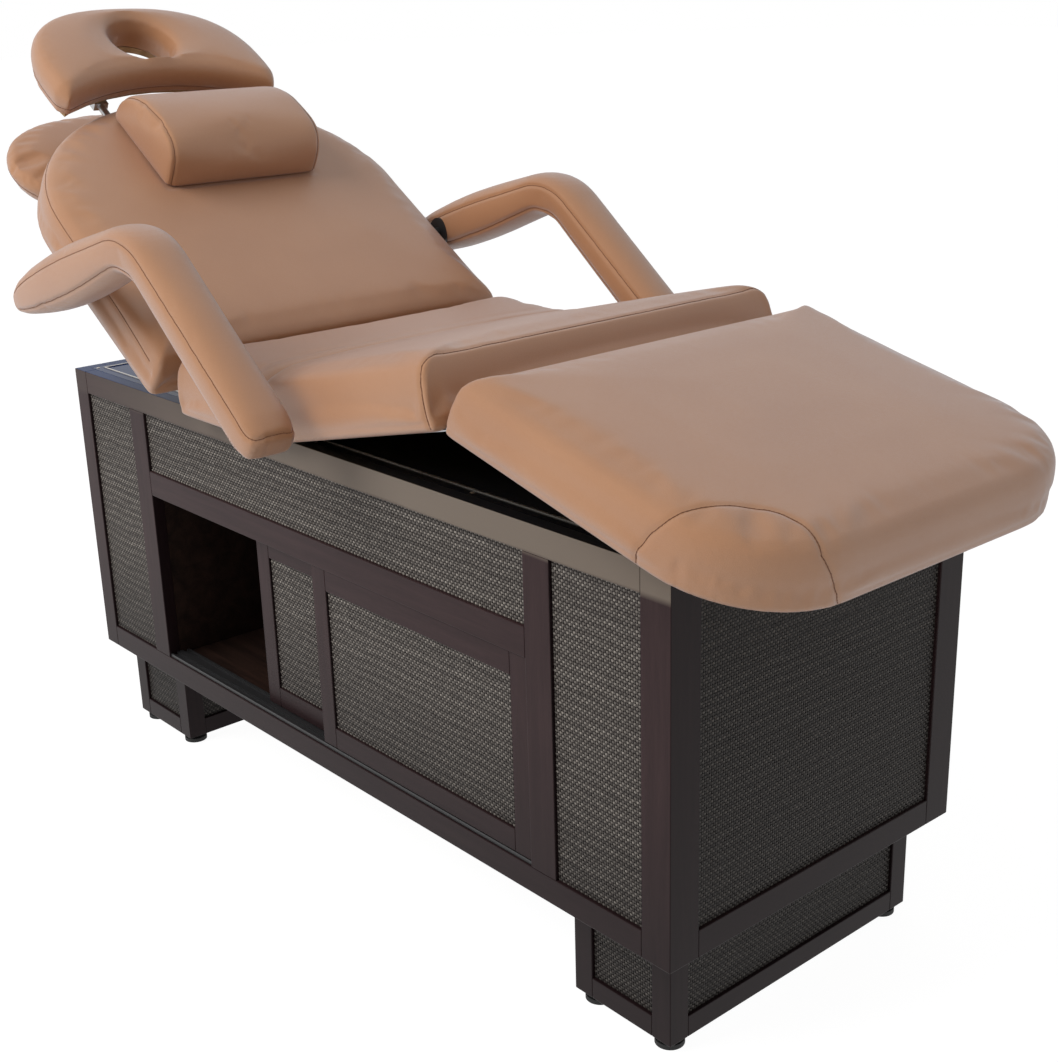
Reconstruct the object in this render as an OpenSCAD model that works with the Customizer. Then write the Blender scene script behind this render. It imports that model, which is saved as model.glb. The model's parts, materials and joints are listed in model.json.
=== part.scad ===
/* [Cabinet] */
// Length of the cabinet
cabinet_l = 1500; // [1400:10:1700]
// Width of the cabinet
cabinet_w = 585; // [560:5:640]
// Height of the cabinet body
cabinet_h = 535; // [515:5:580]
// Height of the cabinet top above the floor as shown
cabinet_top = 700; // [690:5:740]
// Thickness of the frame boards
frame_t = 22; // [18:1:24]
// Face width of the posts at the head end
head_post_w = 42; // [36:1:55]
// Face width of the posts at the foot end
foot_post_w = 50; // [40:1:55]
// Width of the posts on the end faces
end_post_w = 52; // [40:1:60]
// Face width of the stiles beside the door opening
stile_w = 50; // [40:1:60]
// Length of the woven bay panel at the head end
head_bay_l = 157; // [150:1:180]
// Length of the woven bay panel at the foot end
foot_bay_l = 160; // [150:1:180]
// Height of the top rail
top_rail_h = 40; // [30:1:50]
// Height of the rail over the doors
mid_rail_h = 44; // [36:1:50]
// Height of the bottom rail
bottom_rail_h = 40; // [30:1:50]
// Height of the long upper woven panel
upper_panel_h = 104; // [90:1:115]
// Thickness of the woven panels
panel_t = 6; // [4:0.5:8]
// How far the woven panels lie behind the frame faces
panel_inset = 6; // [3:0.5:8]
// Thickness of the inner boards
board_t = 18; // [15:1:18]

/* [Doors] */
// Thickness of the sliding doors
door_t = 16; // [12:1:17]
// Width of the door stiles and rails
door_frame_w = 35; // [28:1:45]
// How far the two doors pass over each other when shut
door_overlap = 7; // [4:1:30]
// How far the inner door stands open
door_open = 300; // [100:5:400]
// Height of the lower door track
track_h = 6; // [5:0.5:8]

/* [Plinths and lift] */
// Length of the plinth at the head end
head_plinth_l = 188; // [170:1:190]
// Length of the plinth at the foot end
foot_plinth_l = 182; // [170:1:186]
// Width of both plinths
plinth_w = 504; // [470:1:515]
// Height of the plinths with the part inside the cabinet
plinth_h = 336; // [310:1:345]
// Width of the plinth stiles
plinth_stile_w = 34; // [28:1:45]
// Height of the plinth bottom rail
plinth_rail_h = 32; // [24:1:40]
// Height of the levelling feet
foot_h = 14; // [10:1:20]
// Diameter of the levelling feet
foot_d = 41; // [36:1:60]
// Side of the outer lift column
column_w = 80; // [70:1:100]
// Wall of both lift columns
column_wall = 4; // [3:0.5:6]

/* [Upholstery] */
// Width of the seat, thigh and leg pads
pad_w = 692; // [660:2:700]
// Thickness of the seat and thigh pads at their edges
pad_t = 104; // [96:1:108]
// Thickness of the leg pad at its edges
leg_t = 92; // [84:1:96]
// Rise of the crown in the middle of a pad
crown = 7; // [3:0.5:10]
// Rounding of the top edges
edge_r = 36; // [28:1:38]
// How far the sides are drawn in at the bottom
draw_in = 10; // [6:0.5:14]
// Length of the seat pad
seat_l = 260; // [250:1:275]
// Length of the thigh pad
thigh_l = 424; // [410:1:440]
// Length of the leg pad
leg_l = 543; // [520:1:570]
// Corner radius at the foot end of the leg pad
leg_corner_r = 165; // [130:1:200]
// Width of the back pad
back_w = 720; // [680:2:730]
// Length of the back pad
back_l = 678; // [660:2:700]
// Thickness of the back pad
back_t = 100; // [94:1:104]
// Length of the rounded head end of the back pad
back_end_l = 300; // [240:2:310]
// Thickness of the plywood boards under the pads
ply_t = 12; // [9:1:15]

/* [Headrest and arm shelf] */
// Width of the headrest
head_w = 464; // [440:2:480]
// Thickness of the headrest cushion
head_t = 70; // [60:1:74]
// Width of the face hole
hole_w = 110; // [100:1:124]
// Length of the face hole
hole_l = 122; // [110:1:130]
// Width of the arm shelf
shelf_w = 530; // [500:2:540]
// Length of the arm shelf
shelf_l = 296; // [270:2:310]
// Thickness of the arm shelf cushion
shelf_t = 50; // [40:1:56]
// Diameter of the headrest and shelf rods
rod_d = 14; // [12:1:16]

/* [Armrests] */
// Width of each armrest pad
arm_w = 90; // [80:1:100]
// Thickness of the front limb of an armrest
arm_t = 68; // [60:1:74]
// Gap between the back pad and an armrest
arm_gap = 6; // [5:1:16]

/* [Bolster] */
// Length of the bolster across the couch
bolster_l = 320; // [280:2:400]
// Depth of the bolster along the back
bolster_d = 225; // [200:1:236]
// Height of the bolster
bolster_h = 93; // [70:1:100]

/* [Angles as shown] */
// Slope of the back above level
back_angle = 33; // [10:1:58]
// Slope of the thigh pad above level
thigh_angle = 13.25; // [6:0.25:17]
// Slope of the leg pad below level
leg_angle = 14.3; // [8:0.1:18]

/* [Hidden] */

// Overrun of every cut
over = 1;
// Clearance between pieces that pass each other or seat on different bodies
gap = 0.3;
// Running clearance round a pin or shaft
run = 0.05;
// Roundness of bores and pins
$fn = 48;

// Cabinet lines, measured from the middle of the cabinet
cab_x = cabinet_l / 2;
cab_y = cabinet_w / 2;
cab_z = cabinet_top - cabinet_h;
head_bay_x = [-cab_x + head_post_w, -cab_x + head_post_w + head_bay_l];
foot_bay_x = [cab_x - foot_post_w - foot_bay_l, cab_x - foot_post_w];
door_x = [head_bay_x[1] + stile_w, foot_bay_x[0] - stile_w];
bottom_z = cab_z + bottom_rail_h;
upper_z = cabinet_top - top_rail_h;
mid_z = [upper_z - upper_panel_h - mid_rail_h, upper_z - upper_panel_h];
in_x = cab_x - frame_t;
in_y = cab_y - frame_t;
board_z = cabinet_top - board_t;

// Doors
rail_drop = 1;
door_clear = 4;
tongue_w = 8;
tongue_side = (door_t - tongue_w) / 2;
track_base = 2;
front_door_y = -cab_y + (frame_t - door_t) / 2;
door_pitch = door_t + door_clear;
rear_door_y = front_door_y + door_pitch;
door_z = [bottom_z + track_h + rail_drop, mid_z[0] - rail_drop];
door_l = (door_x[1] - door_x[0] + door_overlap) / 2;
insert_t = 6;

// Plinths
plinth_board = 18;
plinth_in = [5, 16];
head_plinth_x = plinth_in[0] - in_x;
foot_plinth_x = in_x - foot_plinth_l - plinth_in[1];
plinth_y = plinth_w / 2;
column_x = [head_plinth_x + head_plinth_l / 2, foot_plinth_x + foot_plinth_l / 2];
base_plate_t = 8;
base_plate_l = min(head_plinth_l, foot_plinth_l) - 2 * plinth_board;
plinth_top = foot_h + plinth_h;
column_z = foot_h + base_plate_t;
outer_column_top = 530;
inner_column_z = 285;

// Pads: lines along the couch
pad_under = 2;
split_gap = 3;
split_r = 12;
foot_share = 0.65;
axis_in = 522.5;
thigh_axis = [foot_share * cab_x - axis_in, 8];
knuckle_r = 6;
seat_x = [thigh_axis[0] - split_gap - seat_l, thigh_axis[0] - split_gap];
seat_behind = 14;
back_axis = [seat_x[0] - seat_behind, 54];
back_behind = 8;
knee_x = thigh_l + 2 * split_gap;
under_z = pad_under - thigh_axis[1];
slant = 18;
knee_lean = 7;
back_top = 49;
crease = 5.5;
fold_r = 42;
board_in = 40;

// Headrest and shelf places up the back and off its top face
head_base = -17;
head_centre = back_l + 12;
head_reach = 206;
head_power = 2.6;
head_gap = 8;
head_nose = 16;
head_corner = head_w / 2 - head_nose;
hole_at = back_l + 102;
rod_y = 115;
socket_od = 22;
shelf_centre = back_l + 33;
shelf_top = -160;
shelf_rod_y = 150;
hanger_at = back_l - 200;
hanger_l = 80;
hanger_w = 30;

// Actuators and links, from the cabinet middle and the cabinet top
back_pivot_at = [92, -60];
back_pivot = [back_axis[0], 0] + back_pivot_at;
back_pin = [-80, -100];
thigh_pivot_at = [-20.8, -60];
thigh_pivot = [thigh_axis[0], 0] + thigh_pivot_at;
thigh_pin = [150, -30];
link_pivot_at = [82, -58];
link_pivot = [thigh_axis[0], 0] + link_pivot_at;
link_pin = [24.7, -35];
link_y = 60;
link_t = 5;
pin_d = 12;
plate_t = 5;
rod_od = 20;

// Where the couch's own middle lies from the cabinet's middle
head_end = back_axis[0] - (crease + shelf_centre + shelf_l / 2) * cos(back_angle)
    + (back_top + shelf_top - shelf_t / 2) * sin(back_angle);
knee_place = [
    thigh_axis[0] + knee_x * cos(thigh_angle) - under_z * sin(thigh_angle),
    thigh_axis[1] + knee_x * sin(thigh_angle) + under_z * cos(thigh_angle)
];
foot_end = knee_place[0] + (split_gap + leg_l) * cos(leg_angle) + leg_t * sin(leg_angle) / 2;
mid_x = -(head_end + foot_end) / 2;

// Colours
wood = [0.30, 0.25, 0.23];
weave = [0.42, 0.38, 0.34];
black = [0.05, 0.05, 0.06];
steel = [0.62, 0.62, 0.64];
dark_steel = [0.18, 0.18, 0.19];
ply = [0.72, 0.58, 0.40];
leather = [0.67, 0.55, 0.46];
zinc = [0.78, 0.78, 0.76];

// Frames: the cabinet's middle on the floor, the cabinet's top and each tilting section
module from_middle() { translate([mid_x, 0, 0]) children(); }
module on_top() { translate([mid_x, 0, cabinet_top]) children(); }
module at(p) { translate([p[0], 0, p[1]]) children(); }
module on_thigh() { on_top() at(thigh_axis) rotate([0, -thigh_angle, 0]) children(); }
module on_leg() { on_top() at(knee_place) rotate([0, leg_angle, 0]) children(); }
module on_back() { on_top() at(back_axis) rotate([0, back_angle, 0]) children(); }
// Turns the back's frame so that x runs up the back from the crease and z stands off its top face
module up_back() { on_back() translate([-crease, 0, back_top]) mirror([1, 0, 0]) children(); }

// A block between two corners
module block(a, b) { translate(a) cube(b - a); }
// The same thing at both sides
module both() { children(); mirror([0, 1, 0]) children(); }
// A bar across the couch
module across(x, z, r, y0, y1) {
    translate([x, y0, z]) rotate([-90, 0, 0]) cylinder(r = r, h = y1 - y0);
}
// A plate standing along the couch, from an outline in x and z
module standing(y0, y1) {
    translate([0, y1, 0]) rotate([90, 0, 0]) linear_extrude(y1 - y0) children();
}
// A flat bar outline between two places with round ends
module bar(a, b, r) {
    d = b - a;
    translate(a) circle(r);
    translate(b) circle(r);
    translate(a) rotate(atan2(d[1], d[0])) translate([0, -r]) square([norm(d), 2 * r]);
}

// Steps round each corner of a cushion
corner_steps = 6;
function arc(c, r, a0, a1, n) = [for (i = [0 : n])
    let (a = a0 + (a1 - a0) * i / n) c + r * [cos(a), sin(a)]];
// Plan of a pad: ends at x0 and x1, half width w, corner radii, drawn in by i with a share at each end
function pad_plan(x0, x1, w, r0, r1, k0, k1, i) =
    let (
        s0 = max(r0 - i, r0 / 5), s1 = max(r1 - i, r1 / 5),
        a = x0 + k0 * i, b = x1 - k1 * i, h = w - i
    ) concat(
        arc([a + s0, s0 - h], s0, 180, 270, corner_steps),
        arc([b - s1, s1 - h], s1, 270, 360, corner_steps),
        arc([b - s1, h - s1], s1, 0, 90, corner_steps),
        arc([a + s0, h - s0], s0, 90, 180, corner_steps)
    );
// Side line of a cushion from the bottom up, as draw-in and height
function pad_side(t, r, c, m) = [
    [draw_in, 0], [draw_in * 0.3, t * 0.22], [0, t * 0.5], [r * 0.05, t - r], [r * 0.29, t - r * 0.32],
    [r * 0.62, t - r * 0.08], [r * 1.15, t], [m * 0.55, t + c * 0.75], [m * 0.9, t + c]
];
// Solid through stacked outlines that all have the same number of points
module stack(rings) {
    n = len(rings[0]);
    m = len(rings);
    polyhedron(
        points = [for (r = rings) each r],
        faces = concat(
            [[for (i = [0 : n - 1]) i]],
            [for (k = [0 : m - 2], i = [0 : n - 1]) each [
                [k * n + i, (k + 1) * n + i, (k + 1) * n + (i + 1) % n],
                [k * n + i, (k + 1) * n + (i + 1) % n, k * n + (i + 1) % n]
            ]],
            [[for (i = [n - 1 : -1 : 0]) (m - 1) * n + i]]
        )
    );
}
// A closed loop of outlines, for a cushion with a hole through it
module ring_stack(rings) {
    n = len(rings[0]);
    m = len(rings);
    polyhedron(
        points = [for (r = rings) each r],
        faces = [for (k = [0 : m - 1], i = [0 : n - 1]) each [
            [k * n + i, ((k + 1) % m) * n + i, ((k + 1) % m) * n + (i + 1) % n],
            [k * n + i, ((k + 1) % m) * n + (i + 1) % n, k * n + (i + 1) % n]
        ]]
    );
}
module pad(x0, x1, w, r0, r1, k0, k1, t, shear) {
    m = min((x1 - x0) / (k0 + k1), w);
    stack([for (s = pad_side(t, edge_r, crown, m))
        [for (p = pad_plan(x0, x1, w, r0, r1, k0, k1, s[0]))
            [p[0] + shear * s[1] * (x1 - p[0]) / (x1 - x0), p[1], s[1]]]]);
}

// Plinths
module plinth_frame(x, l) {
    color(wood) difference() {
        block([x, -plinth_y, foot_h], [x + l, plinth_y, plinth_top]);
        block([x + plinth_board, plinth_board - plinth_y, column_z],
            [x + l - plinth_board, plinth_y - plinth_board, plinth_top + over]);
        block([x + plinth_board, plinth_board - plinth_y, foot_h - over],
            [x + l - plinth_board, plinth_y - plinth_board, column_z + over]);
        // Openings that hold the woven inserts
        block([x + plinth_stile_w, -plinth_y - over, foot_h + plinth_rail_h],
            [x + l - plinth_stile_w, plinth_y + over, plinth_top - plinth_rail_h]);
        block([x - over, plinth_stile_w - plinth_y, foot_h + plinth_rail_h],
            [x + l + over, plinth_y - plinth_stile_w, plinth_top - plinth_rail_h]);
    }
}
module head_plinth() { from_middle() plinth_frame(head_plinth_x, head_plinth_l); }
module foot_plinth() { from_middle() plinth_frame(foot_plinth_x, foot_plinth_l); }
module plinth_inserts() {
    z = [foot_h + plinth_rail_h, plinth_top - plinth_rail_h];
    from_middle() color(weave) for (p = [[head_plinth_x, head_plinth_l], [foot_plinth_x, foot_plinth_l]]) {
        both() block([p[0] + plinth_stile_w, -plinth_y + panel_inset, z[0]],
            [p[0] + p[1] - plinth_stile_w, -plinth_y + panel_inset + panel_t, z[1]]);
        for (x = [p[0] + panel_inset, p[0] + p[1] - panel_inset - panel_t])
            block([x, plinth_stile_w - plinth_y, z[0]], [x + panel_t, plinth_y - plinth_stile_w, z[1]]);
    }
}
// How far the middle of a foot stands in from the plinth's faces
foot_in = 24;
module levelling_feet() {
    from_middle() color(black) for (p = [[head_plinth_x, head_plinth_l], [foot_plinth_x, foot_plinth_l]])
        for (x = [p[0] + foot_in, p[0] + p[1] - foot_in], y = [foot_in - plinth_y, plinth_y - foot_in])
            translate([x, y, 0]) {
                cylinder(d = foot_d, h = foot_h / 2);
                cylinder(d = foot_d / 2, h = foot_h);
            }
}
module lift_outer_columns() {
    bore = column_w / 2 - column_wall;
    from_middle() color(steel) for (x = column_x) difference() {
        union() {
            block([x - column_w / 2, -column_w / 2, foot_h],
                [x + column_w / 2, column_w / 2, outer_column_top]);
            block([x - base_plate_l / 2, plinth_board - plinth_y, foot_h],
                [x + base_plate_l / 2, plinth_y - plinth_board, column_z]);
        }
        block([x - bore, -bore, column_z + base_plate_t], [x + bore, bore, outer_column_top + over]);
    }
}
module lift_inner_columns() {
    w = column_w / 2 - column_wall - gap;
    from_middle() color(steel) for (x = column_x) {
        difference() {
            block([x - w, -w, inner_column_z], [x + w, w, board_z]);
            block([x - w + column_wall, column_wall - w, inner_column_z - over],
                [x + w - column_wall, w - column_wall, board_z - base_plate_t]);
        }
        block([x - column_w / 2, -column_w, board_z - base_plate_t], [x + column_w / 2, column_w, board_z]);
    }
}

// Cabinet frame
module corner_post(w) {
    linear_extrude(cabinet_h) polygon([[0, 0], [w, 0], [w, frame_t], [frame_t, frame_t],
        [frame_t, end_post_w], [0, end_post_w]]);
}
module corner_posts() {
    from_middle() color(wood) both() {
        translate([-cab_x, -cab_y, cab_z]) corner_post(head_post_w);
        translate([cab_x, -cab_y, cab_z]) mirror([1, 0, 0]) corner_post(foot_post_w);
    }
}
module side_frame() {
    block([head_bay_x[0], -cab_y, upper_z], [foot_bay_x[1], -in_y, cabinet_top]);
    block([head_bay_x[0], -cab_y, cab_z], [foot_bay_x[1], -in_y, bottom_z]);
    block([head_bay_x[1], -cab_y, bottom_z], [door_x[0], -in_y, upper_z]);
    block([door_x[1], -cab_y, bottom_z], [foot_bay_x[0], -in_y, upper_z]);
    block([door_x[0], -cab_y, mid_z[0]], [door_x[1], -in_y, mid_z[1]]);
}
module front_frame() {
    from_middle() color(wood) difference() {
        side_frame();
        block([door_x[0] - over, front_door_y + tongue_side - gap, mid_z[0] - over],
            [door_x[1] + over, front_door_y + tongue_side + tongue_w + gap, mid_z[0] + track_h]);
    }
}
module rear_frame() { from_middle() color(wood) mirror([0, 1, 0]) side_frame(); }
module end_rails() {
    from_middle() color(wood)
        for (x = [-cab_x, cab_x - frame_t], z = [[cab_z, bottom_z], [upper_z, cabinet_top]])
            block([x, end_post_w - cab_y, z[0]], [x + frame_t, cab_y - end_post_w, z[1]]);
}
module side_panels(lower) {
    y = [-cab_y + panel_inset, -cab_y + panel_inset + panel_t];
    block([head_bay_x[0], y[0], bottom_z], [head_bay_x[1], y[1], upper_z]);
    block([foot_bay_x[0], y[0], bottom_z], [foot_bay_x[1], y[1], upper_z]);
    block([door_x[0], y[0], mid_z[1]], [door_x[1], y[1], upper_z]);
    if (lower) block([door_x[0], y[0], bottom_z], [door_x[1], y[1], mid_z[0]]);
}
module front_woven_panels() { from_middle() color(weave) side_panels(false); }
module rear_woven_panels() { from_middle() color(weave) mirror([0, 1, 0]) side_panels(true); }
module end_woven_panels() {
    from_middle() color(weave) for (x = [-cab_x + panel_inset, cab_x - panel_inset - panel_t])
        block([x, end_post_w - cab_y, bottom_z], [x + panel_t, cab_y - end_post_w, upper_z]);
}

// Boards inside the cabinet
module bay_partitions() {
    from_middle() color(black) for (x = [door_x[0] - board_t, door_x[1]])
        block([x, -in_y, cab_z], [x + board_t, in_y, mid_z[0] + 2 * board_t]);
}
module storage_floor() {
    from_middle() color(black) block([door_x[0], -in_y, bottom_z - board_t], [door_x[1], in_y, bottom_z]);
}
module storage_ceiling() {
    from_middle() color(black)
        block([door_x[0], -in_y, mid_z[0] + board_t], [door_x[1], in_y, mid_z[0] + 2 * board_t]);
}
module storage_back() {
    from_middle() color(black)
        block([door_x[0], in_y - board_t, bottom_z], [door_x[1], in_y, mid_z[0] + board_t]);
}

// Slots in the top board for what works through it
slot_side = 26;
back_slot = [back_axis[0], back_axis[0]] + [-154, 80];
thigh_slot = [thigh_axis[0], thigh_axis[0]] + [26, 200];
link_slot = [thigh_axis[0], thigh_axis[0]] + [126, 518];
lug_y = 200;
lug_w = 16;
lug_t = 6;
module top_board() {
    on_top() color(black) difference() {
        block([-in_x, -in_y, -board_t], [in_x, in_y, 0]);
        block([back_slot[0], -slot_side, -board_t - over], [back_slot[1], slot_side, over]);
        block([thigh_slot[0], -slot_side / 2, -board_t - over], [thigh_slot[1], slot_side / 2, over]);
        both() block([link_slot[0], link_y - pin_d, -board_t - over], [link_slot[1], link_y + pin_d, over]);
        both() block([back_axis[0] - lug_w, lug_y - lug_t / 2, -board_t - over],
            [back_axis[0] + lug_w, lug_y + lug_t / 2, over]);
    }
}
trim_in = 38;
trim_w = 3;
trim_h = 1.4;
module top_trim() {
    on_top() color(zinc) difference() {
        block([trim_in - cab_x, trim_in - cab_y, 0], [cab_x - trim_in, cab_y - trim_in, trim_h]);
        block([trim_in + trim_w - cab_x, trim_in + trim_w - cab_y, -over],
            [cab_x - trim_in - trim_w, cab_y - trim_in - trim_w, trim_h + over]);
    }
}
screw_d = 7;
screw_in = 31;
screw_mid_share = 0.476;
screw_x = [screw_in - cab_x, screw_mid_share * cab_x, cab_x - screw_in];
module trim_screws() {
    on_top() color(zinc) both() for (x = screw_x) translate([x, trim_in - cab_y - screw_d, 0])
        rotate_extrude() polygon([[0, 0], [screw_d / 2, 0], [screw_d / 3, trim_h / 2], [0, trim_h * 0.8]]);
}

// Doors and their tracks
module lower_track() {
    x = door_x;
    y0 = front_door_y;
    y1 = rear_door_y + door_t;
    difference() {
        block([x[0], y0, bottom_z], [x[1], y1, bottom_z + track_h]);
        for (y = [front_door_y, rear_door_y])
            block([x[0] - over, y + tongue_side - gap, bottom_z + track_base],
                [x[1] + over, y + tongue_side + tongue_w + gap, bottom_z + track_h + over]);
    }
}
module upper_track() {
    y = rear_door_y + tongue_side - gap;
    difference() {
        block([door_x[0], -in_y, mid_z[0]], [door_x[1], rear_door_y + door_t, mid_z[0] + board_t]);
        block([door_x[0] - over, y, mid_z[0] - over],
            [door_x[1] + over, y + tongue_w + 2 * gap, mid_z[0] + track_h]);
    }
}
module door_tracks() {
    from_middle() color(dark_steel) {
        lower_track();
        upper_track();
    }
}
module door_frame(x, y) {
    z = door_z;
    ty = [y + tongue_side, y + tongue_side + tongue_w];
    from_middle() color(wood) difference() {
        union() {
            block([x, y, z[0]], [x + door_l, y + door_t, z[1]]);
            block([x, ty[0], bottom_z + track_base + gap], [x + door_l, ty[1], mid_z[0] + track_h - gap]);
        }
        block([x + door_frame_w, y - over, z[0] + door_frame_w],
            [x + door_l - door_frame_w, y + door_t + over, z[1] - door_frame_w]);
    }
}
module door_insert(x, y) {
    z = door_z;
    from_middle() color(weave) block([x + door_frame_w, y + (door_t - insert_t) / 2, z[0] + door_frame_w],
        [x + door_l - door_frame_w, y + (door_t + insert_t) / 2, z[1] - door_frame_w]);
}
module front_door_frame() { door_frame(door_x[1] - door_l - gap, front_door_y); }
module front_door_insert() { door_insert(door_x[1] - door_l - gap, front_door_y); }
module rear_door_frame() { door_frame(door_x[0] + gap + door_open, rear_door_y); }
module rear_door_insert() { door_insert(door_x[0] + gap + door_open, rear_door_y); }

// Mechanism under the cabinet top
actuator_turn = atan2(back_pin_place()[1] - back_pivot[1], back_pin_place()[0] - back_pivot[0]);
back_actuator_l = norm(back_pin_place() - back_pivot);
thigh_turn = atan2(thigh_pin_place()[1] - thigh_pivot[1], thigh_pin_place()[0] - thigh_pivot[0]);
thigh_actuator_l = norm(thigh_pin_place() - thigh_pivot);
link_turn = atan2(link_pin_place()[1] - link_pivot[1], link_pin_place()[0] - link_pivot[0]);
link_l = norm(link_pin_place() - link_pivot);
function turned(p, a) = [p[0] * cos(a) + p[1] * sin(a), p[1] * cos(a) - p[0] * sin(a)];
function back_pin_place() = back_axis + turned(back_pin, back_angle);
function thigh_pin_place() = thigh_axis + turned(thigh_pin, -thigh_angle);
function link_pin_place() = knee_place + turned(link_pin, leg_angle);

eye_w = 13;
bracket_t = 5;
bracket_w = 40;
hanger_plate_w = 32;
// A pair of hanging plates with the pin between them, at a place below the cabinet top
module hanger_pair(p, half) {
    for (y = [half, -half - bracket_t]) standing(y, y + bracket_t) difference() {
        union() {
            translate(p) circle(hanger_plate_w / 2);
            translate([p[0] - hanger_plate_w / 2, p[1]]) square([hanger_plate_w, -board_t - p[1]]);
        }
        translate(p) circle(pin_d / 2);
    }
    across(p[0], p[1], pin_d / 2, -half - bracket_t, half + bracket_t);
}
module mechanism_brackets() {
    on_top() color(dark_steel) {
        hanger_pair(back_pivot, rod_od / 2 + gap);
        hanger_pair(thigh_pivot, eye_w / 2 + gap);
        both() translate([0, link_y, 0]) hanger_pair(link_pivot, link_t / 2 + gap);
    }
}
box_size = [180, 100, 42];
box_in = [20, 120];
box_place = [door_x[1] - box_size[0] - box_in[0], box_in[1]];
module control_box() {
    on_top() color(black) block([box_place[0], box_place[1], -board_t - box_size[2]],
        [box_place[0] + box_size[0], box_place[1] + box_size[1], -board_t]);
}
lug_drop = 60;
lug_foot = 40;
module back_hinge_lugs() {
    r = pin_d / 2 + run;
    on_top() color(dark_steel) both() difference() {
        union() {
            standing(lug_y - lug_t / 2, lug_y + lug_t / 2) {
                translate(back_axis) circle(pin_d);
                translate([back_axis[0] - pin_d, -lug_drop]) square([2 * pin_d, back_axis[1] + lug_drop]);
            }
            block([back_axis[0] - pin_d, lug_y, -board_t - lug_t],
                [back_axis[0] + pin_d, lug_y + lug_foot, -board_t]);
        }
        across(back_axis[0], back_axis[1], r, lug_y - lug_t, lug_y + lug_t);
    }
}
leaf_w = 54;
leaf_t = pad_under - gap;
knuckle_l = 60;
knuckle_y = [-228, -92, 92, 228];
hinge_pin_r = 3;
// One leaf of a hinge whose axis is at the origin: the two outer knuckles with the pin, or the middle one
module hinge_leaf(outer, side, z0) {
    k = knuckle_l / 2;
    spans = outer ? [[-3 * k, -k], [k, 3 * k]] : [[gap - k, k - gap]];
    difference() {
        for (y = knuckle_y, p = spans) {
            across(0, 0, knuckle_r, y + p[0], y + p[1]);
            block([min(0, side * leaf_w), y + p[0], z0], [max(0, side * leaf_w), y + p[1], z0 + leaf_t]);
            if (z0 < 0)
                block([min(0, side * knuckle_r), y + p[0], z0], [max(0, side * knuckle_r), y + p[1], 0]);
        }
        if (!outer) across(0, 0, hinge_pin_r + run, -pad_w / 2, pad_w / 2);
    }
    if (outer) for (y = knuckle_y) across(0, 0, hinge_pin_r, y - 2 * k, y + 2 * k);
}
module thigh_hinge_leaf() {
    on_top() color(steel) at(thigh_axis) hinge_leaf(true, -1, -thigh_axis[1]);
}

// Seat
end_k = fold_r / edge_r;
tight_k = 0.35;
knee_k = 0.8;
leg_k = 0.6;
notch_h = 22;
notch_in = 62;
notch_x = seat_x[0] + notch_in;
pad_half = pad_w / 2;
module pad_board(x0, x1, w, r0, r1, t) {
    linear_extrude(t) polygon(pad_plan(x0, x1, w, r0, r1, 1, 1, board_in));
}
module back_notch() {
    block([seat_x[0] - over, -slot_side, 0], [notch_x, slot_side, notch_h]);
    both() block([seat_x[0] - over, lug_y - pin_d - over, 0],
        [back_axis[0] + pin_d + 2 * lug_t, lug_y + pin_d + over, back_axis[1] + 2 * pin_d]);
}
module seat_board() {
    on_top() color(ply) difference() {
        translate([0, 0, pad_under]) pad_board(seat_x[0], seat_x[1], pad_half, split_r, split_r, ply_t);
        back_notch();
    }
}
module seat_cushion() {
    on_top() color(leather) difference() {
        translate([0, 0, pad_under])
            pad(seat_x[0], seat_x[1], pad_half, split_r, split_r, end_k, tight_k, pad_t, 0);
        translate([0, 0, pad_under - over])
            pad_board(seat_x[0], seat_x[1], pad_half, split_r, split_r, ply_t + over);
        back_notch();
        // Room for the hinge's knuckles
        for (y = knuckle_y) block([thigh_axis[0] - knuckle_r - gap, y - 2 * knuckle_l, 0],
            [seat_x[1] + over, y + 2 * knuckle_l, thigh_axis[1] + knuckle_r + gap]);
    }
}

// Thigh and leg
thigh_x = [split_gap, split_gap + thigh_l];
leg_x = [split_gap, split_gap + leg_l];
crank_y = eye_w / 2 + gap;
// A crank plate that hangs from the edge of a board at z, with the hole for its pin
module crank_plate(pin, x0, x1, z, y, t, r) {
    standing(y, y + t) difference() {
        hull() {
            translate(pin) circle(r);
            translate([x0, z - r / 2]) square([x1 - x0, r / 2]);
        }
        translate(pin) circle(pin_d / 2);
    }
}
module thigh_board() {
    on_thigh() color(ply) translate([0, 0, under_z + leaf_t])
        pad_board(thigh_x[0], thigh_x[1], pad_half, split_r, split_r, ply_t);
}
module thigh_knuckles() {
    on_thigh() color(steel) {
        hinge_leaf(false, 1, under_z);
        translate([knee_x, 0, under_z]) hinge_leaf(true, -1, 0);
        for (y = [crank_y, -crank_y - plate_t]) crank_plate(thigh_pin, thigh_pin[0] - bracket_w,
            thigh_pin[0] + bracket_w, under_z + leaf_t, y, plate_t, pin_d);
        across(thigh_pin[0], thigh_pin[1], pin_d / 2, -crank_y - plate_t, crank_y + plate_t);
    }
}
module leaf_pockets(x0, x1, outer) {
    k = knuckle_l / 2;
    for (y = knuckle_y, p = outer ? [[-3 * k, -k], [k, 3 * k]] : [[-k, k]])
        block([x0, y + p[0] - gap, -over], [x1, y + p[1] + gap, leaf_t]);
}
module thigh_cushion() {
    on_thigh() color(leather) translate([0, 0, under_z]) difference() {
        pad(thigh_x[0], thigh_x[1], pad_half, split_r, split_r, tight_k, knee_k, pad_t, tan(slant));
        translate([0, 0, -over])
            pad_board(thigh_x[0], thigh_x[1], pad_half, split_r, split_r, leaf_t + ply_t + over);
        leaf_pockets(0, board_in + 2 * split_r, false);
        leaf_pockets(thigh_x[1] - board_in - 2 * split_r, knee_x, true);
    }
}
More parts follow.
